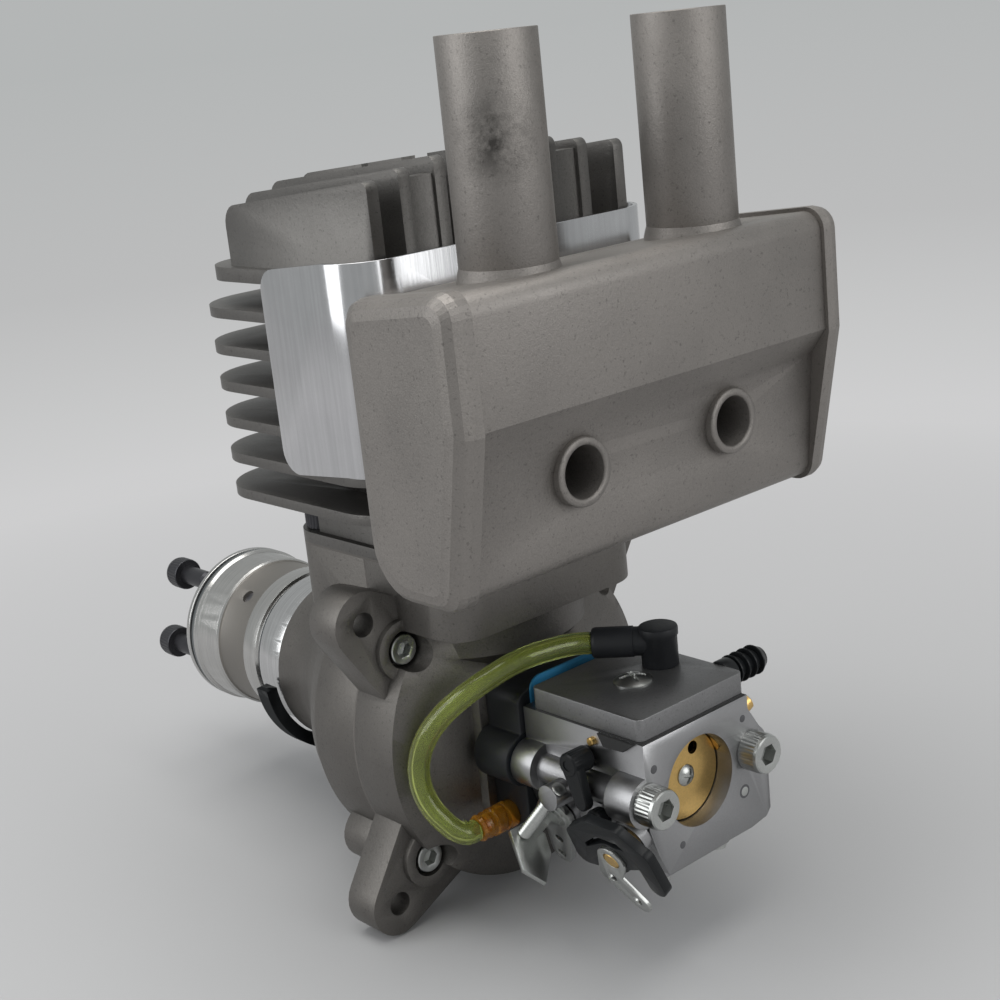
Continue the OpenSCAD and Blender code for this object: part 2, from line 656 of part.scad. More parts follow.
module intake_insulator() color([0.13, 0.13, 0.14]) difference() {
    plate_y(intake_y, insulator_y1) {
        translate([0, carb_z - 0.5]) round_rect(2*insulator_half, 33, 3);
        for (s = [-1, 1]) translate([s*carb_dx/2, carb_z + 1]) circle(6);
    }
    plate_y(intake_y - 1, intake_y + 3 + eps) translate([0, carb_z]) round_rect(cage_w + 0.1, cage_h + 0.1, 4);
    rod_y(carb_r, intake_y, insulator_y1 + 1, 0, carb_z);
    for (s = [-1, 1]) rod_y(m5_r + screw_gap, intake_y - 1, insulator_y1 + 1, s*carb_dx/2, carb_z + 1);
}

module intake_gasket() color([0.1, 0.45, 0.65]) difference() {
    plate_y(insulator_y1, carb_y0) {
        translate([0, carb_z + 2.75]) round_rect(26, 31.5, 3);
        link([-carb_dx/2, carb_z + 1], 4.6, [carb_dx/2, carb_z + 1], 4.6);
    }
    rod_y(carb_r, insulator_y1 - 1, carb_y0 + 1, 0, carb_z);
    for (s = [-1, 1]) rod_y(m5_r + screw_gap, insulator_y1 - 1, carb_y0 + 1, s*carb_dx/2, carb_z + 1);
}

// Carburettor section, narrower toward its underside, in X and Z
module carb_core() polygon([[-side_x, carb_top], [side_x, carb_top], [side_x, -6], [side_x - 2, -12],
    [11, carb_bottom], [-11, carb_bottom], [-side_x + 2, -12], [-side_x, -6]]);

// The same section with a round boss for each long bolt
module carb_section() {
    carb_core();
    for (s = [-1, 1]) translate([s*carb_dx/2, carb_z + 1]) circle(5.2);
}

module carburetor_body() color([0.72, 0.72, 0.7]) difference() {
    union() {
        plate_y(carb_y0, carb_y0 + 6) carb_section();
        plate_y(carb_y1 - 7, carb_y1) {
            carb_section();
            polygon([[0, carb_top], [2 - side_x, carb_top], [-18.8, 4], [-20.7, 0], [-20.7, -15.3],
                [-19.3, carb_bottom + 0.7], [-14.4, carb_bottom], [0, carb_bottom]]);
        }
        plate_y(carb_y0 + 5, carb_y1 - 6) {
            carb_core();
            for (s = [-1, 1]) translate([s*carb_dx/2, carb_z + 1]) circle(3.3);
        }
        on_shaft(throttle_y) rod_x(4.6, -spring_boss_end, shaft_boss_end, 0, 0);
        on_shaft(choke_y) rod_x(4.2, -side_x - 2, side_x + 3, 0, 0);
        rod_x(2.7, side_x - 4, idle_x + 1.7, idle_lug[0], idle_lug[1]);
    }
    rod_y(carb_r, carb_y0 - 1, throttle_y + carb_r + 1, 0, carb_z);
    rod_y(venturi_d/2, carb_y0, carb_y1, 0, carb_z);
    rod_y(carb_r, choke_y - carb_r - 0.5, carb_y1 + 1, 0, carb_z);
    for (y = [throttle_y, choke_y]) on_shaft(y) rod_x(shaft_d/2 + run_fit, -30, 30, 0, 0);
    for (s = [-1, 1]) rod_y(m5_r + screw_gap, carb_y0 - 1, carb_y1 + 1, s*carb_dx/2, carb_z + 1);
    for (p = [high_needle, low_needle]) rod_x(needle_r + 0.02, side_x - 5, side_x + 2, p[0], p[1]);
    idle_rod(idle_r + 0.02, -1, 2);
    translate([0, 0, carb_bottom - 1]) translate([0, carb_y0 + carb_len/2, 0]) cylinder(r = 10, h = 2.2);
}

module pump_gasket() color([0.1, 0.1, 0.1])
    translate([0, cover_mid, carb_top]) linear_extrude(gasket_t) round_rect(carb_body_w, cover_len, 1.5);

module pump_cover() color([0.7, 0.7, 0.68]) difference() {
    translate([0, cover_mid, cover_z0]) linear_extrude(pump_cover_h) round_rect(carb_body_w, cover_len, 1.5);
    translate([1, 41.5, cover_z0 - 1]) cylinder(r = 1.5 + screw_gap, h = 9);
    translate([elbow_foot[0], elbow_foot[1], cover_z0 + 2.4]) cylinder(r = 2.1, h = 9);
    rod_x(2, -side_x - 1, -side_x + 4, inlet_y, inlet_z);
}

module pump_cover_screw() color([0.78, 0.78, 0.76]) translate([1, 41.5, cover_z1]) difference() {
    union() {
        cylinder(r = 4.1, h = 1.3);
        translate([0, 0, -pump_cover_h]) cylinder(r = 1.5, h = pump_cover_h + eps);
    }
    for (a = [20, 110]) rotate([0, 0, a]) translate([-2.4, -0.5, 0.6]) cube([4.8, 1, 2]);
}

module metering_diaphragm() color([0.1, 0.1, 0.1])
    translate([0, carb_y0 + carb_len/2, metering_z1]) linear_extrude(gasket_t) round_rect(22, 30, 2);

module metering_cover() color([0.66, 0.66, 0.64]) translate([0, carb_y0 + carb_len/2, 0]) difference() {
    union() {
        translate([0, 0, metering_z1 - 1.6]) linear_extrude(1.6) round_rect(22, 30, 2);
        translate([0, 0, metering_z0]) cylinder(r = 9.5, h = metering_cover_h);
    }
    translate([0, 0, metering_z1 - 1.2]) cylinder(r = 8, h = 2);
    translate([0, 0, metering_z0 - 1]) cylinder(r = 1, h = 4);
    for (sx = [-1, 1], sy = [-1, 1]) translate([sx*8.6, sy*12.4, metering_z1 - 3]) cylinder(r = 1.25, h = 4);
}

module metering_cover_screws() color([0.78, 0.78, 0.76]) translate([0, carb_y0 + carb_len/2, 0])
    for (sx = [-1, 1], sy = [-1, 1]) translate([sx*8.6, sy*12.4, metering_z1 - 1.6]) rotate([180, 0, 0]) {
        cylinder(r = 2, h = 1.2);
        translate([0, 0, -1.6]) cylinder(r = 1.1, h = 1.7);
    }

// Throttle stop screw, slanted down to the front
module idle_screw() color([0.72, 0.7, 0.62]) idle_rod(idle_r, 0, 1);

// Round bar along the stop screw's axis, between two shares of its length
module idle_rod(r, from, to) {
    run = idle_high - idle_low;
    start = idle_low + from*run;
    translate([idle_x, start[0], start[1]]) rotate([atan2(run[1], run[0]) - 90, 0, 0])
        cylinder(r = r, h = (to - from)*norm(run));
}

module needle(p, cap_r, cap_end) {
    rod_x(needle_r, side_x - 4.8, side_x + 1, p[0], p[1]);
    rod_x(cap_r, side_x + 0.6, cap_end, p[0], p[1]);
}

// High-speed needle with the limiter leg of its cap hanging down
module high_speed_needle() color([0.12, 0.12, 0.13]) {
    needle(high_needle, 2.6, high_cap_end);
    plate_x(low_cap_end + 0.4, high_cap_end - 0.2) link(high_needle, 2.3, high_needle + [2.6, -7.7], 1.7);
}

module low_speed_needle() color([0.12, 0.12, 0.13]) needle(low_needle, 2.6, low_cap_end);

module fuel_inlet() color([0.1, 0.1, 0.1]) {
    rod_x(2, inlet_end, -side_x + 3.8, inlet_y, inlet_z);
    rod_x(3.1, -side_x - 3, -side_x, inlet_y, inlet_z);
    for (i = [0:3]) translate([inlet_end + i*2.4, inlet_y, inlet_z]) rotate([0, 90, 0])
        cylinder(r1 = 2.4, r2 = 3.3, h = 2);
}

module pulse_elbow() color([0.08, 0.08, 0.09]) {
    turn = atan2(elbow_dir[1], elbow_dir[0]);
    translate([elbow_foot[0], elbow_foot[1], cover_z0 + 2.4]) cylinder(r = 2.1, h = 3);
    translate([elbow_foot[0], elbow_foot[1], cover_z1]) cylinder(r = 3.9, h = elbow_z - cover_z1 + 3.4);
    translate([elbow_foot[0], elbow_foot[1], elbow_z]) rotate([0, 0, turn]) rotate([0, 90, 0])
        cylinder(r = 3.3, h = elbow_reach);
}

module pulse_fitting() color([0.75, 0.5, 0.15]) {
    rod_x(3.1, insulator_half, insulator_half + 6, fitting_y, fitting_z);
    rod_x(2.6, insulator_half + 5.5, fitting_end, fitting_y, fitting_z);
}

hose_sides = 8;
hose_last = len(hose_route) - 1;
function along(i) = let (
    d = hose_route[min(i + 1, hose_last)] - hose_route[max(i - 1, 0)]) d/norm(d);
function across(i) = let (c = cross(along(i), [0.3, -0.5, 0.8])) c/norm(c);
function hose_ring(i) = let (u = across(i), v = cross(along(i), u))
    [for (k = [0:hose_sides - 1]) let (a = k*360/hose_sides) hose_route[i] + hose_r*(cos(a)*u + sin(a)*v)];

// Hose swept along its route
module pulse_hose() color([0.72, 0.75, 0.35]) polyhedron(
    [for (i = [0:hose_last]) each hose_ring(i)],
    concat(
        [[for (k = [hose_sides - 1:-1:0]) k]],
        [for (i = [0:hose_last - 1], k = [0:hose_sides - 1]) let (n = (k + 1) % hose_sides)
            [i*hose_sides + k, i*hose_sides + n, (i + 1)*hose_sides + n, (i + 1)*hose_sides + k]],
        [[for (k = [0:hose_sides - 1]) hose_last*hose_sides + k]]));

module carburetor_screws() color([0.8, 0.8, 0.78]) for (s = [-1, 1])
    cap_screw_y(s*carb_dx/2, carb_y1, carb_z + 1, m5_head_r, m5_head_h, m5_r, carb_y1 - intake_y + 7);

module shaft_solid(x0, x1) difference() {
    rod_x(shaft_d/2, x0, x1, 0, 0);
    box([-carb_r, -plate_half_t, -carb_r], [carb_r, plate_half_t, carb_r]);
}

module butterfly(y) intersection() {
    on_shaft(y) box([-carb_r, -plate_half_t, -carb_r], [carb_r, plate_half_t, carb_r]);
    rod_y(carb_r - 0.35, y - 2, y + 2, 0, carb_z);
}

module throttle_shaft() color([0.7, 0.7, 0.7]) on_shaft(throttle_y) {
    shaft_solid(-spring_boss_end - 3, throttle_lever_x + throttle_lever_t + 0.8);
    rod_x(3, -spring_boss_end - 3.8, -spring_boss_end - 3 + eps, 0, 0);
}

module throttle_plate() color([0.8, 0.65, 0.3]) butterfly(throttle_y);

// Lever with a wedge plate bent out under the stop screw and two link holes
module throttle_lever() color([0.74, 0.74, 0.73]) {
    run = idle_high - idle_low;
    on_shaft(throttle_y) difference() {
        union() {
            plate_x(throttle_lever_x, throttle_lever_x + throttle_lever_t) {
                link([0, 0], 4.4, lever_tip, 2.6);
                link([0, 0], 4.4, [-6.2, -4], 2.2);
            }
            translate([throttle_lever_x, -6.76, -3.67]) rotate([46, 0, 0]) translate([0, -1.2, -2.5])
                cube([8.3, 1.2, 4]);
            rod_x(3.2, throttle_lever_x + throttle_lever_t - eps,
                throttle_lever_x + throttle_lever_t + 0.5, 0, 0);
        }
        rod_x(shaft_d/2, 0, 40, 0, 0);
        for (k = [0.62, 1]) rod_x(1.1, 0, 40, k*lever_tip[0], k*lever_tip[1]);
    }
    translate([idle_x, idle_low[0], idle_low[1]]) rotate([atan2(run[1], run[0]) - 90, 0, 0])
        translate([0, 0, -1.55]) linear_extrude(1.2)
            polygon([[2, -2.2], [-2.4, -2.4], [-5, 1.8], [-3.4, 6.1], [2.1, 11.2], [4.9, 6.5]]);
}

module throttle_spring() color([0.6, 0.6, 0.6]) on_shaft(throttle_y) for (i = [0:4])
    translate([-spring_boss_end - 0.3 - i*0.5, 0, 0]) rotate([0, 90, 0])
        rotate_extrude() translate([shaft_d/2 + 0.62, 0]) circle(0.27, $fn = 16);

module choke_shaft() color([0.75, 0.62, 0.3]) on_shaft(choke_y)
    shaft_solid(-side_x - 3, choke_lever_x + choke_lever_t + choke_arm_t);

module choke_plate() color([0.82, 0.66, 0.3]) difference() {
    butterfly(choke_y);
    rod_y(1.4, choke_y - 2, choke_y + 2, -2.6, carb_z + 5.2);
}

module choke_plate_screw() color([0.8, 0.8, 0.78])
    rod_y(2.3, choke_y + shaft_d/2, choke_y + shaft_d/2 + 1.2, 0, carb_z);

// Curved plastic lever: a hub carried by a bow over it and a strut to the front
module choke_lever() color([0.1, 0.1, 0.11]) on_shaft(choke_y) difference() {
    plate_x(choke_lever_x, choke_lever_x + choke_lever_t) {
        link([0, 0], 4, [-9.5, -3.5], 2.2);
        link([-9.8, -3.3], 2.4, [-9.4, 2.6], 2.3);
        link([-9.2, 2.8], 2.2, [-3, 7.4], 2.1);
        link([-3.2, 7.3], 2, [4.2, 7.6], 2.1);
        link([4, 7.7], 2, [9, 3], 2.2);
        link([8.9, 3.1], 2.3, [9.4, -5], 2.1);
        link([0.2, 0.1], 3.4, [8.8, 2.6], 2);
    }
    rod_x(shaft_d/2, 0, 40, 0, 0);
}

// Flat steel arm on the outer face of the lever
module choke_arm() color([0.78, 0.79, 0.8]) on_shaft(choke_y) difference() {
    x0 = choke_lever_x + choke_lever_t;
    plate_x(x0, x0 + choke_arm_t) {
        link([0, 0], 3.4, [-3, -5.5], 2.7);
        link([-3, -5.4], 2.6, [2.4, -12], 2.2);
    }
    rod_x(shaft_d/2, 0, 40, 0, 0);
    for (p = [[-2.6, -6], [1.8, -11.2]]) rod_x(1.1, 0, 40, p[0], p[1]);
}

module crankshaft() color([0.62, 0.63, 0.65]) difference() {
    union() {
        difference() {
            rod_y(web_r, web_y0, web_y1);
            for (s = [-1, 1]) rotate([0, s*38, 0])
                box([s*18.5 - 20*(1 - s), web_y0 - 1, -99], [s*18.5 + 20*(1 + s), web_y1 + 1, 0]);
        }
        turned_y([[0, hub_front + 8], [hub_shaft_r, hub_front + 8], [hub_shaft_r, hub_rear],
            [journal_front_r, hub_rear], [journal_front_r, front_bearing_y1 + 0.3],
            [journal_rear_r, front_bearing_y1 + 0.3],
            [journal_rear_r, web_y0 + eps], [0, web_y0 + eps]]);
    }
    box([hub_shaft_r - 1.6, hub_front + 18, -1.5], [hub_shaft_r + 1, hub_front + 30, 1.5]);
}

module hub_key() color([0.5, 0.5, 0.52])
    box([hub_shaft_r - 1.6, hub_front + 18, -1.5], [hub_shaft_r + 1.4, hub_front + 30, 1.5]);

module prop_hub() color([0.78, 0.78, 0.78]) difference() {
    turned_y([[hub_shaft_r, hub_front], [hub_r - 2.5, hub_front], [hub_r - 2.5, hub_front + 1.2],
        [hub_r, hub_front + 1.2], [hub_r, hub_front + 2.6], [hub_r - 0.6, hub_front + 3.2],
        [hub_r - 0.8, hub_front + 12], [hub_r - 1.6, hub_front + 12.6], [hub_r - 1.6, hub_front + 24],
        [hub_r - 0.9, hub_front + 24.6], [hub_r - 0.9, hub_front + 30], [hub_r - 2, hub_front + 30.4],
        [hub_r - 2, hub_front + 31.6], [hub_r - 0.9, hub_front + 32], [hub_r - 1.1, hub_rear],
        [hub_shaft_r, hub_rear]]);
    box([hub_shaft_r - 2, hub_front + 18, -1.5], [hub_shaft_r + 1.4, hub_front + 30, 1.5]);
    for (i = [0:3]) rotate([0, -prop_angle - 90*i, 0])
        rod_y(m5_r, hub_front - 1, hub_front + 16, prop_pcd/2, 0);
    rotate([0, -51, 0]) rod_x(1.7, hub_r - 5, hub_r + 2, hub_front + 18.5, 0);
}

module hub_magnet() color([0.3, 0.3, 0.32])
    rotate([0, -51, 0]) rod_x(1.7, hub_r - 5, hub_r - 2.6, hub_front + 18.5, 0);

module prop_washer() color([0.8, 0.8, 0.8]) difference() {
    turned_y([[3, washer_y0], [hub_r, washer_y0], [hub_r, hub_front], [3, hub_front]]);
    for (i = [0:3]) rotate([0, -prop_angle - 90*i, 0])
        rod_y(m5_r + screw_gap, washer_y0 - 1, hub_front + 1, prop_pcd/2, 0);
}

module prop_bolts() color([0.1, 0.1, 0.11]) for (i = [0:3]) rotate([0, -prop_angle - 90*i, 0])
    translate([prop_pcd/2, prop_bolt_front + m5_head_h, 0]) rotate([90, 0, 0])
        cap_screw(m5_head_r, m5_head_h, m5_r, hub_front - prop_bolt_front + 8);

module connecting_rod() color([0.6, 0.6, 0.62]) difference() {
    union() {
        rod_y(8.8, cyl_y - rod_t/2, cyl_y + rod_t/2, 0, -throw);
        rod_y(7.6, cyl_y - rod_t/2, cyl_y + rod_t/2, 0, wrist_z);
        plate_y(cyl_y - 3, cyl_y + 3) polygon([[-6, -throw], [6, -throw], [4.2, wrist_z], [-4.2, wrist_z]]);
    }
    rod_y(crank_pin_d/2 + 1.2, cyl_y - 9, cyl_y + 9, 0, -throw);
    rod_y(wrist_pin_d/2 + 1.2, cyl_y - 9, cyl_y + 9, 0, wrist_z);
    for (s = [-1, 1]) plate_y(cyl_y + s*2 - (1 - s)*1.5, cyl_y + s*2 + (1 + s)*1.5)
        polygon([[-3, -throw + 13], [3, -throw + 13], [2, wrist_z - 12], [-2, wrist_z - 12]]);
}

module crank_pin() color([0.7, 0.7, 0.72])
    rod_y(crank_pin_d/2, cyl_y - rod_t/2, cyl_y + rod_t/2 + 1, 0, -throw);

module rod_bearings() color([0.65, 0.66, 0.68]) {
    for (e = [[crank_pin_d/2, -throw], [wrist_pin_d/2, wrist_z]]) difference() {
        rod_y(e[0] + 1.2, cyl_y - rod_t/2, cyl_y + rod_t/2, 0, e[1]);
        rod_y(e[0] + (e[1] > 0 ? run_fit : 0), cyl_y - 9, cyl_y + 9, 0, e[1]);
    }
}

module piston() color([0.75, 0.75, 0.74]) difference() {
    union() {
        difference() {
            translate([0, cyl_y, wrist_z - skirt_h])
                cylinder(r = bore_r - run_fit, h = skirt_h + crown_h, $fn = 96);
            translate([0, cyl_y, wrist_z - skirt_h - 1])
                cylinder(r = bore_r - 2.6, h = skirt_h + crown_h - 3, $fn = 96);
        }
        for (s = [-1, 1]) intersection() {
            rod_y(wrist_pin_d/2 + 3, cyl_y + min(s*boss_y, s*(bore_r - 1)),
                cyl_y + max(s*boss_y, s*(bore_r - 1)), 0, wrist_z);
            translate([0, cyl_y, wrist_z - skirt_h]) cylinder(r = bore_r - 1, h = skirt_h + crown_h);
        }
    }
    rod_y(wrist_pin_d/2, cyl_y - 30, cyl_y + 30, 0, wrist_z);
    translate([0, cyl_y, wrist_z + crown_h - 4]) difference() {
        cylinder(r = bore_r + 2, h = 1.5);
        translate([0, 0, -1]) cylinder(r = bore_r - 2, h = 4);
    }
}

module piston_ring() color([0.4, 0.4, 0.42]) translate([0, cyl_y, wrist_z + crown_h - 4]) difference() {
    cylinder(r = bore_r - 0.02, h = 1.5, $fn = 96);
    translate([0, 0, -1]) cylinder(r = bore_r - 2, h = 4);
}

module wrist_pin() color([0.7, 0.7, 0.72]) difference() {
    rod_y(wrist_pin_d/2, cyl_y - bore_r + 2.8, cyl_y + bore_r - 2.8, 0, wrist_z);
    rod_y(wrist_pin_d/2 - 2, cyl_y - 30, cyl_y + 30, 0, wrist_z);
}

module pin_circlips() color([0.3, 0.3, 0.32]) for (s = [-1, 1])
    translate([0, cyl_y + s*(bore_r - 2.2), wrist_z]) rotate([90, 0, 0])
        rotate_extrude() translate([wrist_pin_d/2 - 0.6, 0]) circle(0.55, $fn = 16);

crankcase_front();
crankcase_rear();
crankcase_gasket();
crankcase_screws();
cylinder_body();  // cylinder
cylinder_gasket();
cylinder_screws();
exhaust_gasket();
heat_shield();
muffler_shell();
muffler_end_plates();
muffler_bolt_tubes();
muffler_screws();
exhaust_stacks();
rear_bearing();
front_bearing();
shaft_seal();
ignition_sensor();
sensor_screws();
reed_cage();
reed_petals();
intake_insulator();
intake_gasket();
carburetor_body();
pump_gasket();
pump_cover();
pump_cover_screw();
metering_diaphragm();
metering_cover();
metering_cover_screws();
idle_screw();
high_speed_needle();
low_speed_needle();
fuel_inlet();
pulse_elbow();
pulse_fitting();
pulse_hose();
carburetor_screws();
throttle_shaft();
throttle_plate();
throttle_lever();
throttle_spring();
choke_shaft();
choke_plate();
choke_plate_screw();
choke_lever();
choke_arm();
crankshaft();
hub_key();
prop_hub();
hub_magnet();
prop_washer();
prop_bolts();
connecting_rod();
crank_pin();
rod_bearings();
piston();
piston_ring();
wrist_pin();
pin_circlips();
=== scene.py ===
# Looks of the model aircraft engine: camera, light, materials and detailed pieces around the CAD frame.
# The frame is in metres: +Z up the cylinder, +Y to the rear, the propeller hub at -Y.
# Points and profiles of the pieces are in millimetres.
import json
import math

import bmesh
import bpy
from mathutils import Matrix, Vector


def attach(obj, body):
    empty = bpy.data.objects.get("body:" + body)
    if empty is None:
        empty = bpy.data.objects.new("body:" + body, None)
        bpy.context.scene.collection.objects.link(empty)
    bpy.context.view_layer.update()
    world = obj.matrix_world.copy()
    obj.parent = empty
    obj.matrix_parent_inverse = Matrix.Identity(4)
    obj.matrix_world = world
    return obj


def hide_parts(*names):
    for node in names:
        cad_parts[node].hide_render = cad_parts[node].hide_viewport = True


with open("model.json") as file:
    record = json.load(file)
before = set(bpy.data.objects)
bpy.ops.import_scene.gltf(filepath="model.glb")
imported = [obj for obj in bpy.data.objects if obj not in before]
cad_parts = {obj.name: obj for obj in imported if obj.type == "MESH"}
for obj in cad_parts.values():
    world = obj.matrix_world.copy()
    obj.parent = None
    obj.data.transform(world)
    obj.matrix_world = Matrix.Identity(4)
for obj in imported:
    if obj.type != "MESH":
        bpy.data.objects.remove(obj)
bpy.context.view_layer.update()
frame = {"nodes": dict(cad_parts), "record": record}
NODES = frame["nodes"]
SLOT = {row["node"]: row["material_slot"] for row in frame["record"]["subparts"]}
scene = bpy.context.scene
MM = 0.001
UP = (0, 0, 1)
REAR = (0, 1, 0)
FRONT = (0, -1, 0)
LEVER_SIDE = (1, 0, 0)
FUEL_SIDE = (-1, 0, 0)
BOTH = (-1, 1)

# Camera
CAMERA_AT = Vector((0.22613, 0.27255, 0.14944))
VIEW = Vector((-0.6203, -0.7359, -0.2715)).normalized()
ROLL = math.radians(6.10)
LENS = 60.487
SENSOR = 36
NEAREST = 0.01


def add_camera():
    side = VIEW.cross(Vector(UP)).normalized()
    up = side.cross(VIEW)
    right = math.cos(ROLL) * side - math.sin(ROLL) * up
    top = math.sin(ROLL) * side + math.cos(ROLL) * up
    data = bpy.data.cameras.new("camera")
    data.lens = LENS
    data.sensor_width = SENSOR
    data.clip_start = NEAREST
    camera = bpy.data.objects.new("camera", data)
    turn = Matrix((right, top, -VIEW)).transposed().to_4x4()
    camera.matrix_world = Matrix.Translation(CAMERA_AT) @ turn
    scene.collection.objects.link(camera)
    scene.camera = camera


add_camera()


# Shader helpers
MATERIALS = {}


def new_material(name):
    """Makes and registers a material, and gives its node tree and its shader."""
    material = bpy.data.materials.new(name)
    material.use_nodes = True
    MATERIALS[name] = material
    return material.node_tree, material.node_tree.nodes["Principled BSDF"]


def feed(tree, value, socket):
    """Links a socket to another one, or sets it to a plain number, vector or colour."""
    if isinstance(value, bpy.types.NodeSocket):
        tree.links.new(value, socket)
    elif socket.type == "RGBA":
        socket.default_value = (*value, 1)
    else:
        socket.default_value = value


def coords(tree):
    return tree.nodes.new("ShaderNodeTexCoord").outputs["Object"]


def noise(tree, coord, scale, detail=2.0, rough=0.5, stretch=None):
    if stretch:
        mapping = tree.nodes.new("ShaderNodeMapping")
        feed(tree, stretch, mapping.inputs["Scale"])
        feed(tree, coord, mapping.inputs["Vector"])
        coord = mapping.outputs["Vector"]
    node = tree.nodes.new("ShaderNodeTexNoise")
    feed(tree, scale, node.inputs["Scale"])
    feed(tree, detail, node.inputs["Detail"])
    feed(tree, rough, node.inputs["Roughness"])
    feed(tree, coord, node.inputs["Vector"])
    return node.outputs["Fac"]


def ramp(tree, fac, stops):
    """Colours by a factor; stops are (position, colour)."""
    node = tree.nodes.new("ShaderNodeValToRGB")
    elements = node.color_ramp.elements
    while len(elements) < len(stops):
        elements.new(0.5)
    for element, (at, colour) in zip(elements, stops):
        element.position = at
        element.color = (*colour, 1)
    feed(tree, fac, node.inputs["Fac"])
    return node.outputs["Color"]


def shade(colour, k):
    return tuple(min(1.0, c * k) for c in colour)


def tones(tree, fac, colour, darker, lighter, at=(0.3, 0.7)):
    """Ramp from a darker to a lighter shade of a colour."""
    return ramp(tree, fac, [(at[0], shade(colour, darker)), (at[1], shade(colour, lighter))])


def spread(tree, fac, low, high, at=(0.3, 0.7)):
    """Stretches the part of a factor that lies between the two values of at to low and high."""
    node = tree.nodes.new("ShaderNodeMapRange")
    for name, value in zip(("From Min", "From Max", "To Min", "To Max"), (*at, low, high)):
        feed(tree, value, node.inputs[name])
    feed(tree, fac, node.inputs["Value"])
    return node.outputs["Result"]


def blend(tree, fac, a, b):
    """Goes from one colour to another; each is linked or plain."""
    node = tree.nodes.new("ShaderNodeMix")
    node.data_type = "RGBA"
    feed(tree, fac, node.inputs["Factor"])
    feed(tree, a, node.inputs["A"])
    feed(tree, b, node.inputs["B"])
    return node.outputs["Result"]


def calculate(tree, operation, a, b, clamp=False):
    """Sum, product or quotient of two values, each linked or plain."""
    node = tree.nodes.new("ShaderNodeMath")
    node.operation = operation
    node.use_clamp = clamp
    feed(tree, a, node.inputs[0])
    feed(tree, b, node.inputs[1])
    return node.outputs[0]


def distance(tree, coord, point):
    """Distance from a point, in metres."""
    node = tree.nodes.new("ShaderNodeVectorMath")
    node.operation = "DISTANCE"
    feed(tree, coord, node.inputs[0])
    feed(tree, point, node.inputs[1])
    return node.outputs["Value"]


def mix_shaders(tree, share, first, second, output):
    """Sends out the first shader where the share is 0 and the second where it is 1."""
    node = tree.nodes.new("ShaderNodeMixShader")
    feed(tree, share, node.inputs["Fac"])
    feed(tree, first.outputs[0], node.inputs[1])
    feed(tree, second.outputs[0], node.inputs[2])
    feed(tree, node.outputs[0], tree.nodes[output].inputs["Surface"])


def bump(tree, shader, height, depth):
    """Adds relief on top of what the shader already has, its depth in millimetres."""
    node = tree.nodes.new("ShaderNodeBump")
    feed(tree, depth * MM, node.inputs["Distance"])
    feed(tree, height, node.inputs["Height"])
    old = shader.inputs["Normal"]
    if old.is_linked:
        feed(tree, old.links[0].from_socket, node.inputs["Normal"])
    feed(tree, node.outputs["Normal"], shader.inputs["Normal"])


# Materials
def metal(name, colour, rough, grain, grain_size=0.3, mottle=0.1, metallic=1.0, stretch=None, wear=0.0):
    """A metal with mottled tone and gloss, lighter rubbed edges, and grain whose sizes are in millimetres."""
    tree, shader = new_material(name)
    at = coords(tree)
    slow = noise(tree, at, 60, 4, 0.6)
    fine = noise(tree, at, 1 / (grain_size * MM), 2, 0.6, stretch)
    tone = tones(tree, slow, colour, 1 - mottle, 1 + mottle)
    speck = tones(tree, fine, colour, 1 - 1.6 * mottle, 1 + 1.6 * mottle, (0.25, 0.75))
    out = blend(tree, 0.5, tone, speck)
    if wear:
        geometry = tree.nodes.new("ShaderNodeNewGeometry")
        edge = spread(tree, geometry.outputs["Pointiness"], 0, wear, (0.505, 0.56))
        out = blend(tree, edge, out, shade(colour, 1.6))
    feed(tree, out, shader.inputs["Base Color"])
    feed(tree, metallic, shader.inputs["Metallic"])
    feed(tree, spread(tree, slow, rough * 0.88, rough * 1.12), shader.inputs["Roughness"])
    bump(tree, shader, fine, grain)
    return tree, shader


def cast(name, colour, rough, smudge=None):
    """Bead-blasted cast aluminium with dark pits and stains; a smudge is (middle, radius)."""
    tree, shader = metal(name, colour, rough, 0.04, 0.34, mottle=0.17, metallic=0.9, wear=0.35)
    at = coords(tree)
    pits = spread(tree, noise(tree, at, 1300, 2, 0.7), 0, 0.5, (0.60, 0.72))
    stains = spread(tree, noise(tree, at, 34, 5, 0.65), 0, 0.22, (0.50, 0.75))
    out = shader.inputs["Base Color"].links[0].from_socket
    out = blend(tree, pits, out, shade(colour, 0.45))
    out = blend(tree, stains, out, shade(colour, 0.62))
    if smudge:
        middle, radius = smudge
        away = distance(tree, at, [c * MM for c in middle])
        near = spread(tree, away, 1, 0, (0.15 * radius * MM, radius * MM))
        patchy = spread(tree, noise(tree, at, 260, 4, 0.7), 0.1, 0.9, (0.35, 0.6))
        out = blend(tree, calculate(tree, "MULTIPLY", near, patchy), out, shade(colour, 0.2))
    feed(tree, out, shader.inputs["Base Color"])
    bump(tree, shader, noise(tree, at, 900, 3, 0.7), 0.06)


def dull(name, colour, rough, grain, gloss=0.5):
    """Plastic, rubber or paper: small relief and a slow change of tone and gloss."""
    tree, shader = new_material(name)
    at = coords(tree)
    slow = noise(tree, at, 90, 3)
    feed(tree, tones(tree, slow, colour, 0.85, 1.15), shader.inputs["Base Color"])
    feed(tree, spread(tree, slow, rough * 0.85, min(1, rough * 1.15)), shader.inputs["Roughness"])
    feed(tree, gloss, shader.inputs["Specular IOR Level"])
    bump(tree, shader, noise(tree, at, 2000, 3, 0.6), grain)


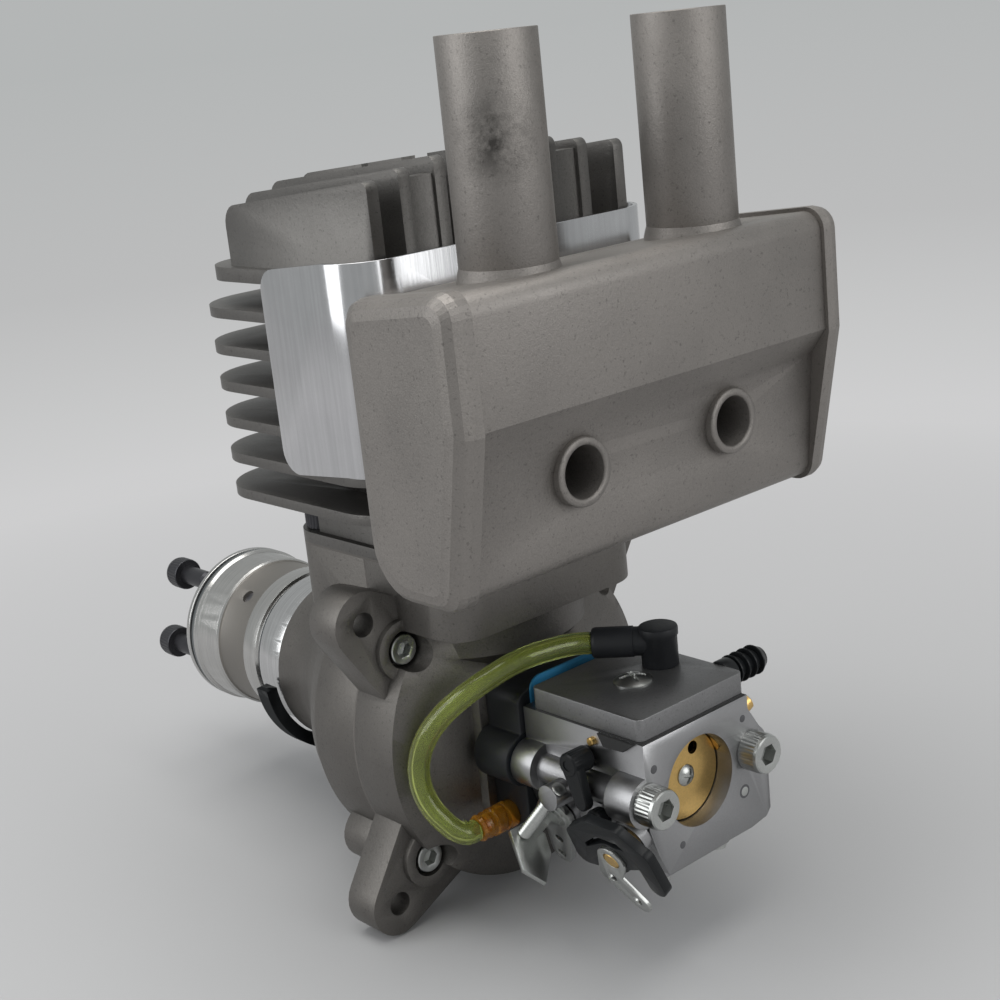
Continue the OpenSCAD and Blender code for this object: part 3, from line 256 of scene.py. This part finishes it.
def banded(name, bands, end):
    """Turned metal in bands along Y, each (start, colour, roughness); the last one ends at end."""
    tree, shader = metal(name, bands[0][1], 0.25, 0.012, 0.25, stretch=LATHE_RINGS)
    begin = bands[0][0]
    split = tree.nodes.new("ShaderNodeSeparateXYZ")
    feed(tree, coords(tree), split.inputs[0])
    place = spread(tree, split.outputs["Y"], 0, 1, (begin * MM, end * MM))
    starts = [(band[0] - begin) / (end - begin) for band in bands]
    tint = ramp(tree, place, [(at, band[1]) for at, band in zip(starts, bands)])
    gloss = ramp(tree, place, [(at, (band[2],) * 3) for at, band in zip(starts, bands)])
    for colours in (tint, gloss):
        colours.node.color_ramp.interpolation = "CONSTANT"
    streaks = spread(tree, noise(tree, coords(tree), 4000, 2, 0.6, LATHE_RINGS), 0, 0.25, (0.35, 0.65))
    feed(tree, blend(tree, streaks, tint, (0.2, 0.2, 0.2)), shader.inputs["Base Color"])
    feed(tree, gloss, shader.inputs["Roughness"])


def clear_plastic(name, colour, rough, clearness):
    """See-through tinted plastic with a slightly uneven surface."""
    tree, shader = new_material(name)
    at = coords(tree)
    slow = noise(tree, at, 120, 3)
    feed(tree, tones(tree, slow, colour, 0.85, 1.12), shader.inputs["Base Color"])
    feed(tree, spread(tree, slow, rough * 0.8, rough * 1.3), shader.inputs["Roughness"])
    feed(tree, clearness, shader.inputs["Transmission Weight"])
    feed(tree, 1.45, shader.inputs["IOR"])
    bump(tree, shader, noise(tree, at, 350, 2), 0.012)


LATHE_RINGS = (0.02, 1, 0.02)
BRUSHED_UP = (1, 1, 0.04)
STACK_STAIN = ((31.1, 50.1, 130.3), 9)
HUB_BRIGHT = (0.55, 0.545, 0.53)
HUB_BANDS = [(-104.5, (0.16, 0.175, 0.18), 0.35), (-102.6, HUB_BRIGHT, 0.24),
             (-92.2, (0.25, 0.235, 0.215), 0.5), (-80.2, HUB_BRIGHT, 0.22),
             (-74.3, (0.14, 0.15, 0.155), 0.4), (-72.7, (0.62, 0.62, 0.62), 0.2)]
HUB_END = -64.5

cast("case_casting", (0.142, 0.134, 0.125), 0.50)
cast("cylinder_casting", (0.128, 0.123, 0.117), 0.48)
cast("muffler_metal", (0.222, 0.208, 0.195), 0.54, STACK_STAIN)
metal("bright_sheet", (0.56, 0.56, 0.57), 0.17, 0.01, 1.2, stretch=BRUSHED_UP)
metal("machined_aluminium", (0.52, 0.515, 0.505), 0.24, 0.012, 0.25, stretch=LATHE_RINGS)
metal("carb_casting", (0.275, 0.275, 0.28), 0.36, 0.02, 0.45, mottle=0.09, wear=0.5)
metal("black_steel", (0.045, 0.045, 0.05), 0.36, 0.01, mottle=0.2, metallic=0.7, wear=0.15)
metal("zinc_steel", (0.48, 0.49, 0.475), 0.30, 0.008)
metal("dark_steel", (0.22, 0.22, 0.235), 0.35, 0.01)
metal("bearing_steel", (0.6, 0.61, 0.63), 0.2, 0.004, mottle=0.05)
dull("gasket_paper", (0.13, 0.12, 0.11), 0.85, 0.04)
dull("gasket_blue", (0.02, 0.17, 0.33), 0.55, 0.02)
dull("gasket_black", (0.02, 0.02, 0.02), 0.7, 0.03)
dull("black_plastic", (0.009, 0.010, 0.011), 0.36, 0.015, gloss=0.22)
dull("black_rubber", (0.012, 0.013, 0.015), 0.5, 0.03, gloss=0.3)
# Painted shade: dull dark material for the hollows of small recesses
dull("pit_shadow", (0.075, 0.075, 0.08), 0.6, 0.02)
metal("brass_plate", (0.66, 0.44, 0.16), 0.30, 0.01, 0.4, mottle=0.12)
banded("turned_hub", HUB_BANDS, HUB_END)
cast("cover_casting", (0.19, 0.19, 0.192), 0.42)
clear_plastic("amber_plastic", (0.80, 0.36, 0.03), 0.12, 0.8)
clear_plastic("hose_tube", (0.66, 0.74, 0.22), 0.05, 0.9)

OWN_LOOK = {"prop_hub": "turned_hub", "pump_cover": "cover_casting"}


def smooth_by_angle(obj, angle=35):
    """Smooth shading with sharp edges where faces meet at more than the angle."""
    obj.data.shade_smooth()
    obj.data.set_sharp_from_angle(angle=math.radians(angle))


def dress(node):
    obj = NODES[node]
    obj.data.materials.clear()
    obj.data.materials.append(MATERIALS[OWN_LOOK.get(node, SLOT[node])])
    smooth_by_angle(obj)


for name in NODES:
    dress(name)


# Pulse hose, a free cord
HOSE_ROUTE = [(0.05, 29.1, 22.6), (1.3, 27.6, 22.6), (4.3, 26, 22.8), (8, 24.8, 22.8), (12, 23.5, 22.6),
              (16, 22, 21.8), (20, 20.2, 20.2), (24, 18, 18), (27.5, 15.4, 15.2), (30.3, 12.8, 11.8),
              (32.3, 10.7, 8), (33.5, 9.3, 4), (34, 8.8, 0), (34, 9.4, -4), (33.4, 11, -7.6),
              (32.3, 13, -10.4), (30.7, 15.2, -12.8), (28.6, 16.5, -13.8), (26.7, 16.5, -13.8)]
HOSE_D = 4.8 * MM
HOSE_WALL = 1.1 * MM


def add_hose():
    curve = bpy.data.curves.new("hose", "CURVE")
    curve.dimensions = "3D"
    spline = curve.splines.new("BEZIER")
    spline.resolution_u = 5
    spline.bezier_points.add(len(HOSE_ROUTE) - 1)
    for p, q in zip(spline.bezier_points, HOSE_ROUTE):
        p.co = [c * MM for c in q]
        p.handle_left_type = "AUTO"
        p.handle_right_type = "AUTO"
    curve.bevel_depth = HOSE_D / 2
    curve.bevel_resolution = 8
    curve.materials.append(MATERIALS["hose_tube"])
    hose = bpy.data.objects.new("hose", curve)
    scene.collection.objects.link(hose)
    wall = hose.modifiers.new("wall", "SOLIDIFY")
    wall.thickness = HOSE_WALL
    wall.offset = -1
    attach(hose, "engine")
    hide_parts("pulse_hose")


add_hose()


# Mesh helpers
def around(sides):
    """Angles of a full turn in equal steps."""
    return [2 * math.pi * k / sides for k in range(sides)]


def skin(bm, rows):
    """Faces between closed rows of vertices."""
    for low, high in zip(rows, rows[1:]):
        for k in range(len(low)):
            n = (k + 1) % len(low)
            bm.faces.new((low[k], low[n], high[n], high[k]))


def ring_stack(bm, rings, sides, place):
    """Surface through rings of (height, radius or radius by angle), closed at both ends."""
    rows = []
    for z, radius in rings:
        row = []
        for a in around(sides):
            r = radius(a) if callable(radius) else radius
            row.append(bm.verts.new(place @ Vector((r * math.cos(a), r * math.sin(a), z))))
        rows.append(row)
    skin(bm, rows)
    for row, z, flip in ((rows[0], rings[0][0], True), (rows[-1], rings[-1][0], False)):
        tip = bm.verts.new(place @ Vector((0, 0, z)))
        for k in range(sides):
            n = (k + 1) % sides
            bm.faces.new((row[n], row[k], tip) if flip else (row[k], row[n], tip))


def along(at, direction):
    """Placement with Z along the direction, at a point in millimetres."""
    turn = Vector(direction).to_track_quat("Z", "Y").to_matrix().to_4x4()
    return Matrix.Scale(MM, 4) @ Matrix.Translation(Vector(at)) @ turn


def hexagon(across):
    """Radius of a hexagon by angle, from its distance across flats."""
    def radius(a):
        b = (a % (math.pi / 3)) - math.pi / 6
        return across / 2 / math.cos(b)
    return radius


def ribbed(r, depth, count):
    """Radius of a ribbed rim by angle; the ribs' depth is a share of the radius."""
    def radius(a):
        return r - depth * r * (0.5 + 0.5 * math.cos(count * a))
    return radius


def thread_rings(z0, z1, r, pitch=0.8, depth=0.28):
    count = max(2, int((z1 - z0) / (pitch / 2)))
    return [(z0 + (z1 - z0) * k / count, r if k % 2 else r - depth) for k in range(count + 1)]


def piece(name, bm, material, body, replaced=(), angle=30):
    """Turns a bmesh into an object on a body."""
    mesh = bpy.data.meshes.new(name)
    bmesh.ops.recalc_face_normals(bm, faces=bm.faces)
    bm.to_mesh(mesh)
    bm.free()
    obj = bpy.data.objects.new(name, mesh)
    scene.collection.objects.link(obj)
    mesh.materials.append(MATERIALS[material])
    smooth_by_angle(obj, angle)
    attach(obj, body)
    if replaced:
        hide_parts(*replaced)


def turned(name, at, direction, rings, material, body, replaced=()):
    """One turned piece; rings are (distance along, radius) from the point."""
    bm = bmesh.new()
    ring_stack(bm, rings, 48, along(at, direction))
    piece(name, bm, material, body, replaced, 35)


# Socket head cap screws, a size is (head radius, head height, shank radius)
M4 = (3.5, 4, 2)
M5 = (4.25, 5, 2.5)
KNURL_TEETH = 30
CARB_REAR_Y = 57.5
CYLINDER_Y = -9.5
PROP_CIRCLE = 13.5
PROP_START = 62
CASE_SEATS = [(sx * 28.4, -2.5, sz * 24.5) for sx in BOTH for sz in BOTH]
CARB_SEATS = [(s * 15.5, CARB_REAR_Y, 0) for s in BOTH]
CYLINDER_SEATS = [(sx * 22.5, CYLINDER_Y + sy * 21, 45.7) for sx in BOTH for sy in BOTH]
MUFFLER_SEATS = [(s * 20.9, 30.9, 68.6) for s in BOTH]
PROP_ANGLES = [math.radians(PROP_START + 90 * k) for k in range(4)]
PROP_SEATS = [(PROP_CIRCLE * math.cos(a), -125, PROP_CIRCLE * math.sin(a)) for a in PROP_ANGLES]


def cap_screw(bm, seat, direction, size, length, threaded):
    """Screw with a knurled rim and a hexagon socket; its head points along the direction."""
    head_r, head_h, shank_r = size
    knurl = ribbed(head_r, 0.045, KNURL_TEETH)
    socket = head_r * 0.94
    rings = [(-length, shank_r * 0.8), (-length + 0.4, shank_r * 0.98)]
    if threaded:
        rings += thread_rings(-length + 0.6, -length + threaded, shank_r)
    rings += [(-0.02, shank_r), (0, shank_r * 1.02), (0, head_r * 0.95), (head_h * 0.05, head_r * 0.985),
              (head_h * 0.10, knurl), (head_h * 0.80, knurl), (head_h * 0.82, head_r * 0.985),
              (head_h * 0.95, head_r * 0.95), (head_h, head_r * 0.89), (head_h, head_r * 0.62),
              (head_h - 0.12, hexagon(socket * 1.01)), (head_h * 0.45, hexagon(socket)),
              (head_h * 0.40, head_r * 0.30)]
    ring_stack(bm, rings, KNURL_TEETH * 4, along(seat, direction))


def cap_screws(name, seats, direction, size, length, material, body, node, threaded=0.0):
    """One piece with a screw in every seat; length is under the head, threaded is from the tip."""
    bm = bmesh.new()
    for seat in seats:
        cap_screw(bm, seat, direction, size, length, threaded)
    piece(name, bm, material, body, [node])


cap_screws("case_cap_screws", CASE_SEATS, REAR, M4, 17, "zinc_steel", "engine", "crankcase_screws")
cap_screws("carburettor_cap_screws", CARB_SEATS, REAR, M5, 52, "zinc_steel", "engine", "carburetor_screws")
cap_screws("cylinder_cap_screws", CYLINDER_SEATS, UP, M5, 14, "black_steel", "engine", "cylinder_screws")
cap_screws("muffler_cap_screws", MUFFLER_SEATS, REAR, M5, 26.4, "black_steel", "engine", "muffler_screws")
cap_screws("propeller_cap_screws", PROP_SEATS, FRONT, M5, 28, "black_steel", "crank", "prop_bolts", 18)

# Soft edges on the cast, moulded and turned CAD nodes, widths in millimetres
SOFT_EDGES = {"crankcase_front": 0.5, "crankcase_rear": 0.6, "cylinder": 0.3, "muffler_shell": 0.4,
              "muffler_bolt_tubes": 0.5, "exhaust_stacks": 0.25, "carburetor_body": 0.4, "pump_cover": 0.8,
              "heat_shield": 0.2, "intake_insulator": 0.5, "prop_hub": 0.2, "prop_washer": 0.25,
              "throttle_lever": 0.25, "choke_lever": 0.6, "choke_arm": 0.2, "ignition_sensor": 0.4,
              "metering_cover": 0.4}
WELD_DISTANCE = 0.000004
FLAT_ANGLE = 1.5
EDGE_ANGLE = 34


def soften(node, width):
    """Rounds a CAD node's edges with modifiers only."""
    obj = NODES[node]
    weld = obj.modifiers.new("weld", "WELD")
    weld.merge_threshold = WELD_DISTANCE
    flat = obj.modifiers.new("flat", "DECIMATE")
    flat.decimate_type = "DISSOLVE"
    flat.angle_limit = math.radians(FLAT_ANGLE)
    soft = obj.modifiers.new("soft", "BEVEL")
    soft.width = width * MM
    soft.segments = 2
    soft.limit_method = "ANGLE"
    soft.angle_limit = math.radians(EDGE_ANGLE)
    soft.use_clamp_overlap = True
    soft.miter_outer = "MITER_ARC"


for name, width in SOFT_EDGES.items():
    soften(name, width)
smooth_by_angle(NODES["muffler_end_plates"], 60)


# Screws with a cross slot
def cross_head(bm, at, direction, r, height, slot, depth, turn):
    """Domed screw head with a cross slot, on a polar grid."""
    place = along(at, direction)
    sides = 96
    rows = 26
    grid = []
    for i in range(1, rows + 1):
        q = r * i / rows
        z = height * (1 - 0.85 * (q / r) ** 2.6)
        row = []
        for a in around(sides):
            off_slot = min(abs(q * math.cos(a + turn)), abs(q * math.sin(a + turn)))
            sunk = depth if off_slot < slot / 2 and q < 0.66 * r else 0
            row.append(bm.verts.new(place @ Vector((q * math.cos(a), q * math.sin(a), z - sunk))))
        grid.append(row)
    tip = bm.verts.new(place @ Vector((0, 0, height - depth)))
    foot = [bm.verts.new(place @ Vector((r * math.cos(a), r * math.sin(a), 0))) for a in around(sides)]
    base = bm.verts.new(place @ Vector((0, 0, 0)))
    for k in range(sides):
        n = (k + 1) % sides
        bm.faces.new((tip, grid[0][k], grid[0][n]))
        for low, high in zip(grid, grid[1:]):
            bm.faces.new((low[k], high[k], high[n], low[n]))
        bm.faces.new((grid[-1][k], foot[k], foot[n], grid[-1][n]))
        bm.faces.new((base, foot[n], foot[k]))


BORE_Z = -1
COVER_SCREW_AT = (1, 41.5, 17.3)
PLATE_SCREW_AT = (0, 53.42, BORE_Z)


def add_cross_screws():
    bm = bmesh.new()
    cross_head(bm, COVER_SCREW_AT, UP, 4.1, 1.3, 0.9, 0.7, 0.5)
    ring_stack(bm, [(-4.6, 1.5), (0, 1.5)], 32, along(COVER_SCREW_AT, UP))
    piece("pump_cover_cross_screw", bm, "zinc_steel", "engine", ["pump_cover_screw"], 25)
    bm = bmesh.new()
    cross_head(bm, PLATE_SCREW_AT, REAR, 2.3, 1.2, 0.6, 0.5, 0.4)
    piece("choke_cross_screw", bm, "zinc_steel", "choke", ["choke_plate_screw"], 25)


# Choke shaft
CHOKE_Y = 52.9
SHAFT_TILT = math.radians(24)
SHAFT_R = 2.0
SHAFT_START = -22.5
SHAFT_END = 24.6
SHAFT_CHAMFER = 0.4
FLAT_REACH = 9.4
PLATE_HALF = 0.5


def add_choke_shaft():
    """The choke's shaft, milled flat behind its plate where it crosses the bore."""
    bm = bmesh.new()
    place = Matrix.Translation(Vector((0, CHOKE_Y, BORE_Z)) * MM)
    place = place @ Matrix.Rotation(SHAFT_TILT, 4, "Y") @ Matrix.Scale(MM, 4)
    tip_r = SHAFT_R - SHAFT_CHAMFER
    rows = []
    for x, r, flat in ((SHAFT_START, tip_r, False), (SHAFT_START + SHAFT_CHAMFER, SHAFT_R, False),
                       (-FLAT_REACH, SHAFT_R, False), (-FLAT_REACH, SHAFT_R, True),
                       (FLAT_REACH, SHAFT_R, True), (FLAT_REACH, SHAFT_R, False),
                       (SHAFT_END - SHAFT_CHAMFER, SHAFT_R, False), (SHAFT_END, tip_r, False)):
        row = []
        for a in around(40):
            y = r * math.cos(a)
            if flat:
                y = min(y, -PLATE_HALF)
            row.append(bm.verts.new(place @ Vector((x, y, r * math.sin(a)))))
        rows.append(row)
    skin(bm, rows)
    bm.faces.new(reversed(rows[0]))
    bm.faces.new(rows[-1])
    piece("milled_choke_shaft", bm, "brass_plate", "choke", ["choke_shaft"])


# Stop screw and needles
STOP_TIP = Vector((21.6, 26, -14))
STOP_HEAD = Vector((21.6, 38.6, 0.2))
STOP_R = 1.5
NEEDLE_X = 10.7
CAP_R = 2.6
HIGH_NEEDLE = (42, 6.2)
HIGH_END = 21.8
LOW_NEEDLE = (45.3, -6.4)
LOW_END = 19
LEG_TIP = (44.6, -1.5)
LEG_FROM = 19.4
LEG_TO = 21.6


def add_stop_screw():
    length = (STOP_HEAD - STOP_TIP).length
    rings = [(0, 0.9), (0.3, 1.2)] + thread_rings(0.5, length - 1.8, STOP_R, 0.9, 0.3)
    rings += [(length - 1.6, 1.45), (length - 1.5, STOP_R), (length - 0.1, STOP_R), (length, 1.35),
              (length, 0.35), (length - 0.7, 0.3)]
    turned("threaded_stop_screw", STOP_TIP, STOP_HEAD - STOP_TIP, rings, "zinc_steel", "stop_screw",
           ["idle_screw"])


def link_outline(a, ra, b, rb):
    """Outline of two circles joined by their outer tangents."""
    a = Vector(a)
    b = Vector(b)
    d = b - a
    heading = math.atan2(d.y, d.x)
    lean = math.acos((ra - rb) / d.length)
    steps = 10
    points = []
    for i in range(steps + 1):
        w = heading + lean + i * (2 * math.pi - 2 * lean) / steps
        points.append(a + ra * Vector((math.cos(w), math.sin(w))))
    for i in range(steps + 1):
        w = heading - lean + i * 2 * lean / steps
        points.append(b + rb * Vector((math.cos(w), math.sin(w))))
    return points


def slab(bm, outline, x0, x1, edge):
    """Plate drawn in Y and Z between two X values, its rim rounded."""
    middle = sum(outline, Vector((0, 0))) / len(outline)
    rows = []
    for x, inset in ((x0, edge), (x0 + edge * 0.4, edge * 0.3), (x0 + edge, 0), (x1 - edge, 0),
                     (x1 - edge * 0.4, edge * 0.3), (x1, edge)):
        points = [p + (middle - p).normalized() * inset for p in outline]
        rows.append([bm.verts.new(Vector((x, *p)) * MM) for p in points])
    skin(bm, rows)
    bm.faces.new(reversed(rows[0]))
    bm.faces.new(rows[-1])


def needle_cap(bm, middle, end):
    """Stem and ribbed cap of a needle, along X from the carburettor's side to the cap's end."""
    ribs = ribbed(CAP_R, 0.05, 18)
    length = end - NEEDLE_X
    rings = [(0, 1.2), (5.6, 1.2), (5.6, CAP_R * 0.9), (5.9, CAP_R * 0.97), (6.2, ribs), (length - 0.6, ribs),
             (length - 0.3, CAP_R * 0.95), (length, CAP_R * 0.82), (length, CAP_R * 0.45),
             (length - 0.9, CAP_R * 0.42)]
    ring_stack(bm, rings, 72, along((NEEDLE_X, *middle), LEVER_SIDE))


def add_needles():
    bm = bmesh.new()
    needle_cap(bm, HIGH_NEEDLE, HIGH_END)
    slab(bm, link_outline(HIGH_NEEDLE, 2.3, LEG_TIP, 1.7), LEG_FROM, LEG_TO, 0.35)
    piece("high_needle_limiter", bm, "black_plastic", "high_needle", ["high_speed_needle"])
    bm = bmesh.new()
    needle_cap(bm, LOW_NEEDLE, LOW_END)
    piece("low_needle_limiter", bm, "black_plastic", "low_needle", ["low_speed_needle"])


# Fuel inlet, elbow and amber fitting; profiles are (distance along, radius)
INLET_AT = (-11.7, 50.5, 14.8)
INLET_FOOT = [(0, 2), (3.7, 2), (3.8, 3.0), (4.1, 3.1), (6.5, 3.1), (6.8, 3.0), (6.8, 2.05), (7.2, 2.4)]
BARB = [(0, 3.25), (0.25, 3.3), (1.9, 2.4), (2.1, 2.35)]
BARB_STARTS = [7.3 + 2.3 * k for k in range(4)]
INLET_MOUTH = [(16.28, 2.2), (16.3, 1.9), (16.3, 1.2), (13.5, 1.1)]
ELBOW_AT = (-9, 40, 15.1)
SPOUT_AT = (-9, 40, 22.6)
SPOUT_WAY = (0.64, -0.77, 0)
ELBOW_STEM = [(0, 2.1), (2.2, 2.1), (2.2, 3.7), (2.5, 3.9), (8.6, 3.9), (8.9, 4.15), (10.3, 4.2),
              (10.7, 4.05), (10.9, 3.6)]
ELBOW_SPOUT = [(0, 3.1), (5.2, 3.1), (5.3, 3.3), (13.2, 3.3), (13.7, 3.2), (14, 2.9)]
AMBER_AT = (16.5, 16.5, -13.8)
AMBER_PROFILE = [(0, 3.0), (0.3, 3.1), (2.6, 3.1), (2.8, 2.6), (3.5, 2.6), (3.7, 3.1), (5.8, 3.1), (6.0, 2.7),
                 (6.9, 2.6), (7.4, 3.0), (8.6, 2.6), (9.2, 2.95), (9.9, 2.6), (10, 2.2), (10, 1.3), (7, 1.2)]


def add_fittings():
    barbs = [(start + at, r) for start in BARB_STARTS for at, r in BARB]
    turned("fuel_barb", INLET_AT, FUEL_SIDE, INLET_FOOT + barbs + INLET_MOUTH, "black_plastic", "engine",
           ["fuel_inlet"])
    bm = bmesh.new()
    ring_stack(bm, ELBOW_STEM, 56, along(ELBOW_AT, UP))
    ring_stack(bm, ELBOW_SPOUT, 48, along(SPOUT_AT, SPOUT_WAY))
    piece("moulded_elbow", bm, "black_rubber", "engine", ["pulse_elbow"], 40)
    turned("amber_barb", AMBER_AT, LEVER_SIDE, AMBER_PROFILE, "amber_plastic", "engine", ["pulse_fitting"])


# Small recesses on the carburettor with painted shade in them, the gasket's tab, the brass pin and the
# stacks' fillets
PLUG_X = -12.9
PLUG_Z = -8.6
# Dark discs of painted shade in shallow recesses of the carburettor's rear face, each (x, z, radius)
RECESS_SHADE_SPOTS = ((13, 6.4, 0.9), (PLUG_X, PLUG_Z, 1.5), (-13.7, 7.5, 0.8), (6.6, -12.7, 0.8))
PLUG = [(-0.2, 1.0), (0.06, 1.0), (0.12, 0.8), (0.14, 0.3)]
TAB_OUTLINE = ((45.5, 12.2), (47, 9.6), (52.5, 9.9), (55.8, 12.2))
TAB_FROM = 15.4
TAB_TO = 16.3
PIN_AT = (15.2, 43.6, 9.9)
PIN = [(0, 0.9), (1.3, 0.9), (1.5, 0.7), (1.5, 0.2)]
STACK_X = 24.85
STACK_Y = 43.3
STACK_FILLET = [(104.2, 10.0), (105.6, 9.9), (106.6, 9.6), (107.5, 9.3), (107.7, 9.26)]


def add_carburettor_marks():
    bm = bmesh.new()
    # Painted shade: a dull dark disc stands in each recess
    for x, z, r in RECESS_SHADE_SPOTS:
        ring_stack(bm, [(-0.3, r), (0.02, r), (0.05, r * 0.9)], 28, along((x, CARB_REAR_Y, z), REAR))
    piece("recess_painted_shade", bm, "pit_shadow", "engine")
    turned("channel_plug", (PLUG_X, CARB_REAR_Y, PLUG_Z), REAR, PLUG, "zinc_steel", "engine")
    bm = bmesh.new()
    slab(bm, [Vector(p) for p in TAB_OUTLINE], TAB_FROM, TAB_TO, 0.15)
    piece("gasket_tab", bm, "gasket_black", "engine")
    turned("vent_pin", PIN_AT, LEVER_SIDE, PIN, "brass_plate", "engine")


def add_stack_fillets():
    bm = bmesh.new()
    for s in BOTH:
        ring_stack(bm, STACK_FILLET, 64, along((s * STACK_X, STACK_Y, 0), UP))
    piece("stack_fillets", bm, "muffler_metal", "engine")


add_cross_screws()
add_choke_shaft()
add_stop_screw()
add_needles()
add_fittings()
add_carburettor_marks()
add_stack_fillets()

# Floor, world and light, in metres
FLOOR_Z = -0.0402
FLOOR_HALF = 30
FLOOR_CORNERS = [(-FLOOR_HALF, -FLOOR_HALF, 0), (FLOOR_HALF, -FLOOR_HALF, 0), (FLOOR_HALF, FLOOR_HALF, 0),
                 (-FLOOR_HALF, FLOOR_HALF, 0)]
SEEN_FAR = (0.455, 0.468, 0.468)
# Painted light: the floor glows brighter nearer the engine, like a pool of lamp light fading outwards
PAINTED_FLOOR_GLOW = [(0.0, SEEN_FAR), (0.30, (0.50, 0.503, 0.505)), (0.44, (0.575, 0.578, 0.58)),
               (0.52, (0.615, 0.615, 0.62))]
# The painted glow's tones go by nearness, which is 1 under the engine and a half at this distance
HALF_WAY = 0.5
# The painted glow takes over from the lit floor between these distances
TAKE_OVER = (0.08, 0.42)
AIM = Vector((0, 0, 0.04))
# Each light is (name, place, size, power, colour)
LIGHTS = (("overhead", (0.05, 0.0, 0.75), (0.7, 0.7), 4.6, (1.0, 0.99, 0.97)),
          ("side", (0.65, -0.25, 0.35), (0.5, 0.6), 2.2, (0.98, 0.99, 1.0)),
          ("rear_fill", (-0.2, 0.75, 0.35), (0.6, 0.5), 2.0, (1, 1, 1)))


def seen_rays(tree):
    """1 for rays from the camera, a mirror or a glass."""
    path = tree.nodes.new("ShaderNodeLightPath")
    total = path.outputs["Is Camera Ray"]
    for ray in ("Is Glossy Ray", "Is Transmission Ray"):
        total = calculate(tree, "ADD", total, path.outputs[ray], clamp=True)
    return total


def add_stage():
    """Paper floor: lit near the engine, and farther out a painted glow of lamp light, brightest nearest the
    engine, that fades to the far tone.
    """
    mesh = bpy.data.meshes.new("floor")
    mesh.from_pydata(FLOOR_CORNERS, [], [(0, 1, 2, 3)])
    floor = bpy.data.objects.new("floor", mesh)
    floor.location = (0, 0, FLOOR_Z)
    tree, shader = new_material("floor_paper")
    feed(tree, (0.40, 0.40, 0.402), shader.inputs["Base Color"])
    feed(tree, 0.9, shader.inputs["Roughness"])
    feed(tree, 0.1, shader.inputs["Specular IOR Level"])
    away = distance(tree, coords(tree), (0, 0, 0))
    nearness = calculate(tree, "DIVIDE", HALF_WAY, calculate(tree, "ADD", away, HALF_WAY))
    glow = tree.nodes.new("ShaderNodeEmission")
    feed(tree, ramp(tree, nearness, PAINTED_FLOOR_GLOW), glow.inputs["Color"])
    outer = spread(tree, away, 0, 1, TAKE_OVER)
    mix_shaders(tree, calculate(tree, "MULTIPLY", outer, seen_rays(tree)), shader, glow, "Material Output")
    mesh.materials.append(MATERIALS["floor_paper"])
    scene.collection.objects.link(floor)


def add_world():
    """Even studio light, and the floor's far tone where the world itself is seen."""
    world = bpy.data.worlds.new("studio")
    scene.world = world
    world.use_nodes = True
    tree = world.node_tree
    back = tree.nodes["Background"]
    feed(tree, (0.525, 0.54, 0.55), back.inputs["Color"])
    feed(tree, 1.05, back.inputs["Strength"])
    seen = tree.nodes.new("ShaderNodeBackground")
    feed(tree, SEEN_FAR, seen.inputs["Color"])
    mix_shaders(tree, seen_rays(tree), back, seen, "World Output")


def add_light(name, place, size, power, colour):
    data = bpy.data.lights.new(name, "AREA")
    data.shape = "RECTANGLE"
    data.size, data.size_y = size
    data.energy = power
    data.color = colour
    lamp = bpy.data.objects.new(name, data)
    lamp.location = place
    lamp.rotation_euler = (AIM - Vector(place)).to_track_quat("-Z", "Y").to_euler()
    scene.collection.objects.link(lamp)


add_stage()
add_world()
for light in LIGHTS:
    add_light(*light)

scene.view_settings.view_transform = "Standard"
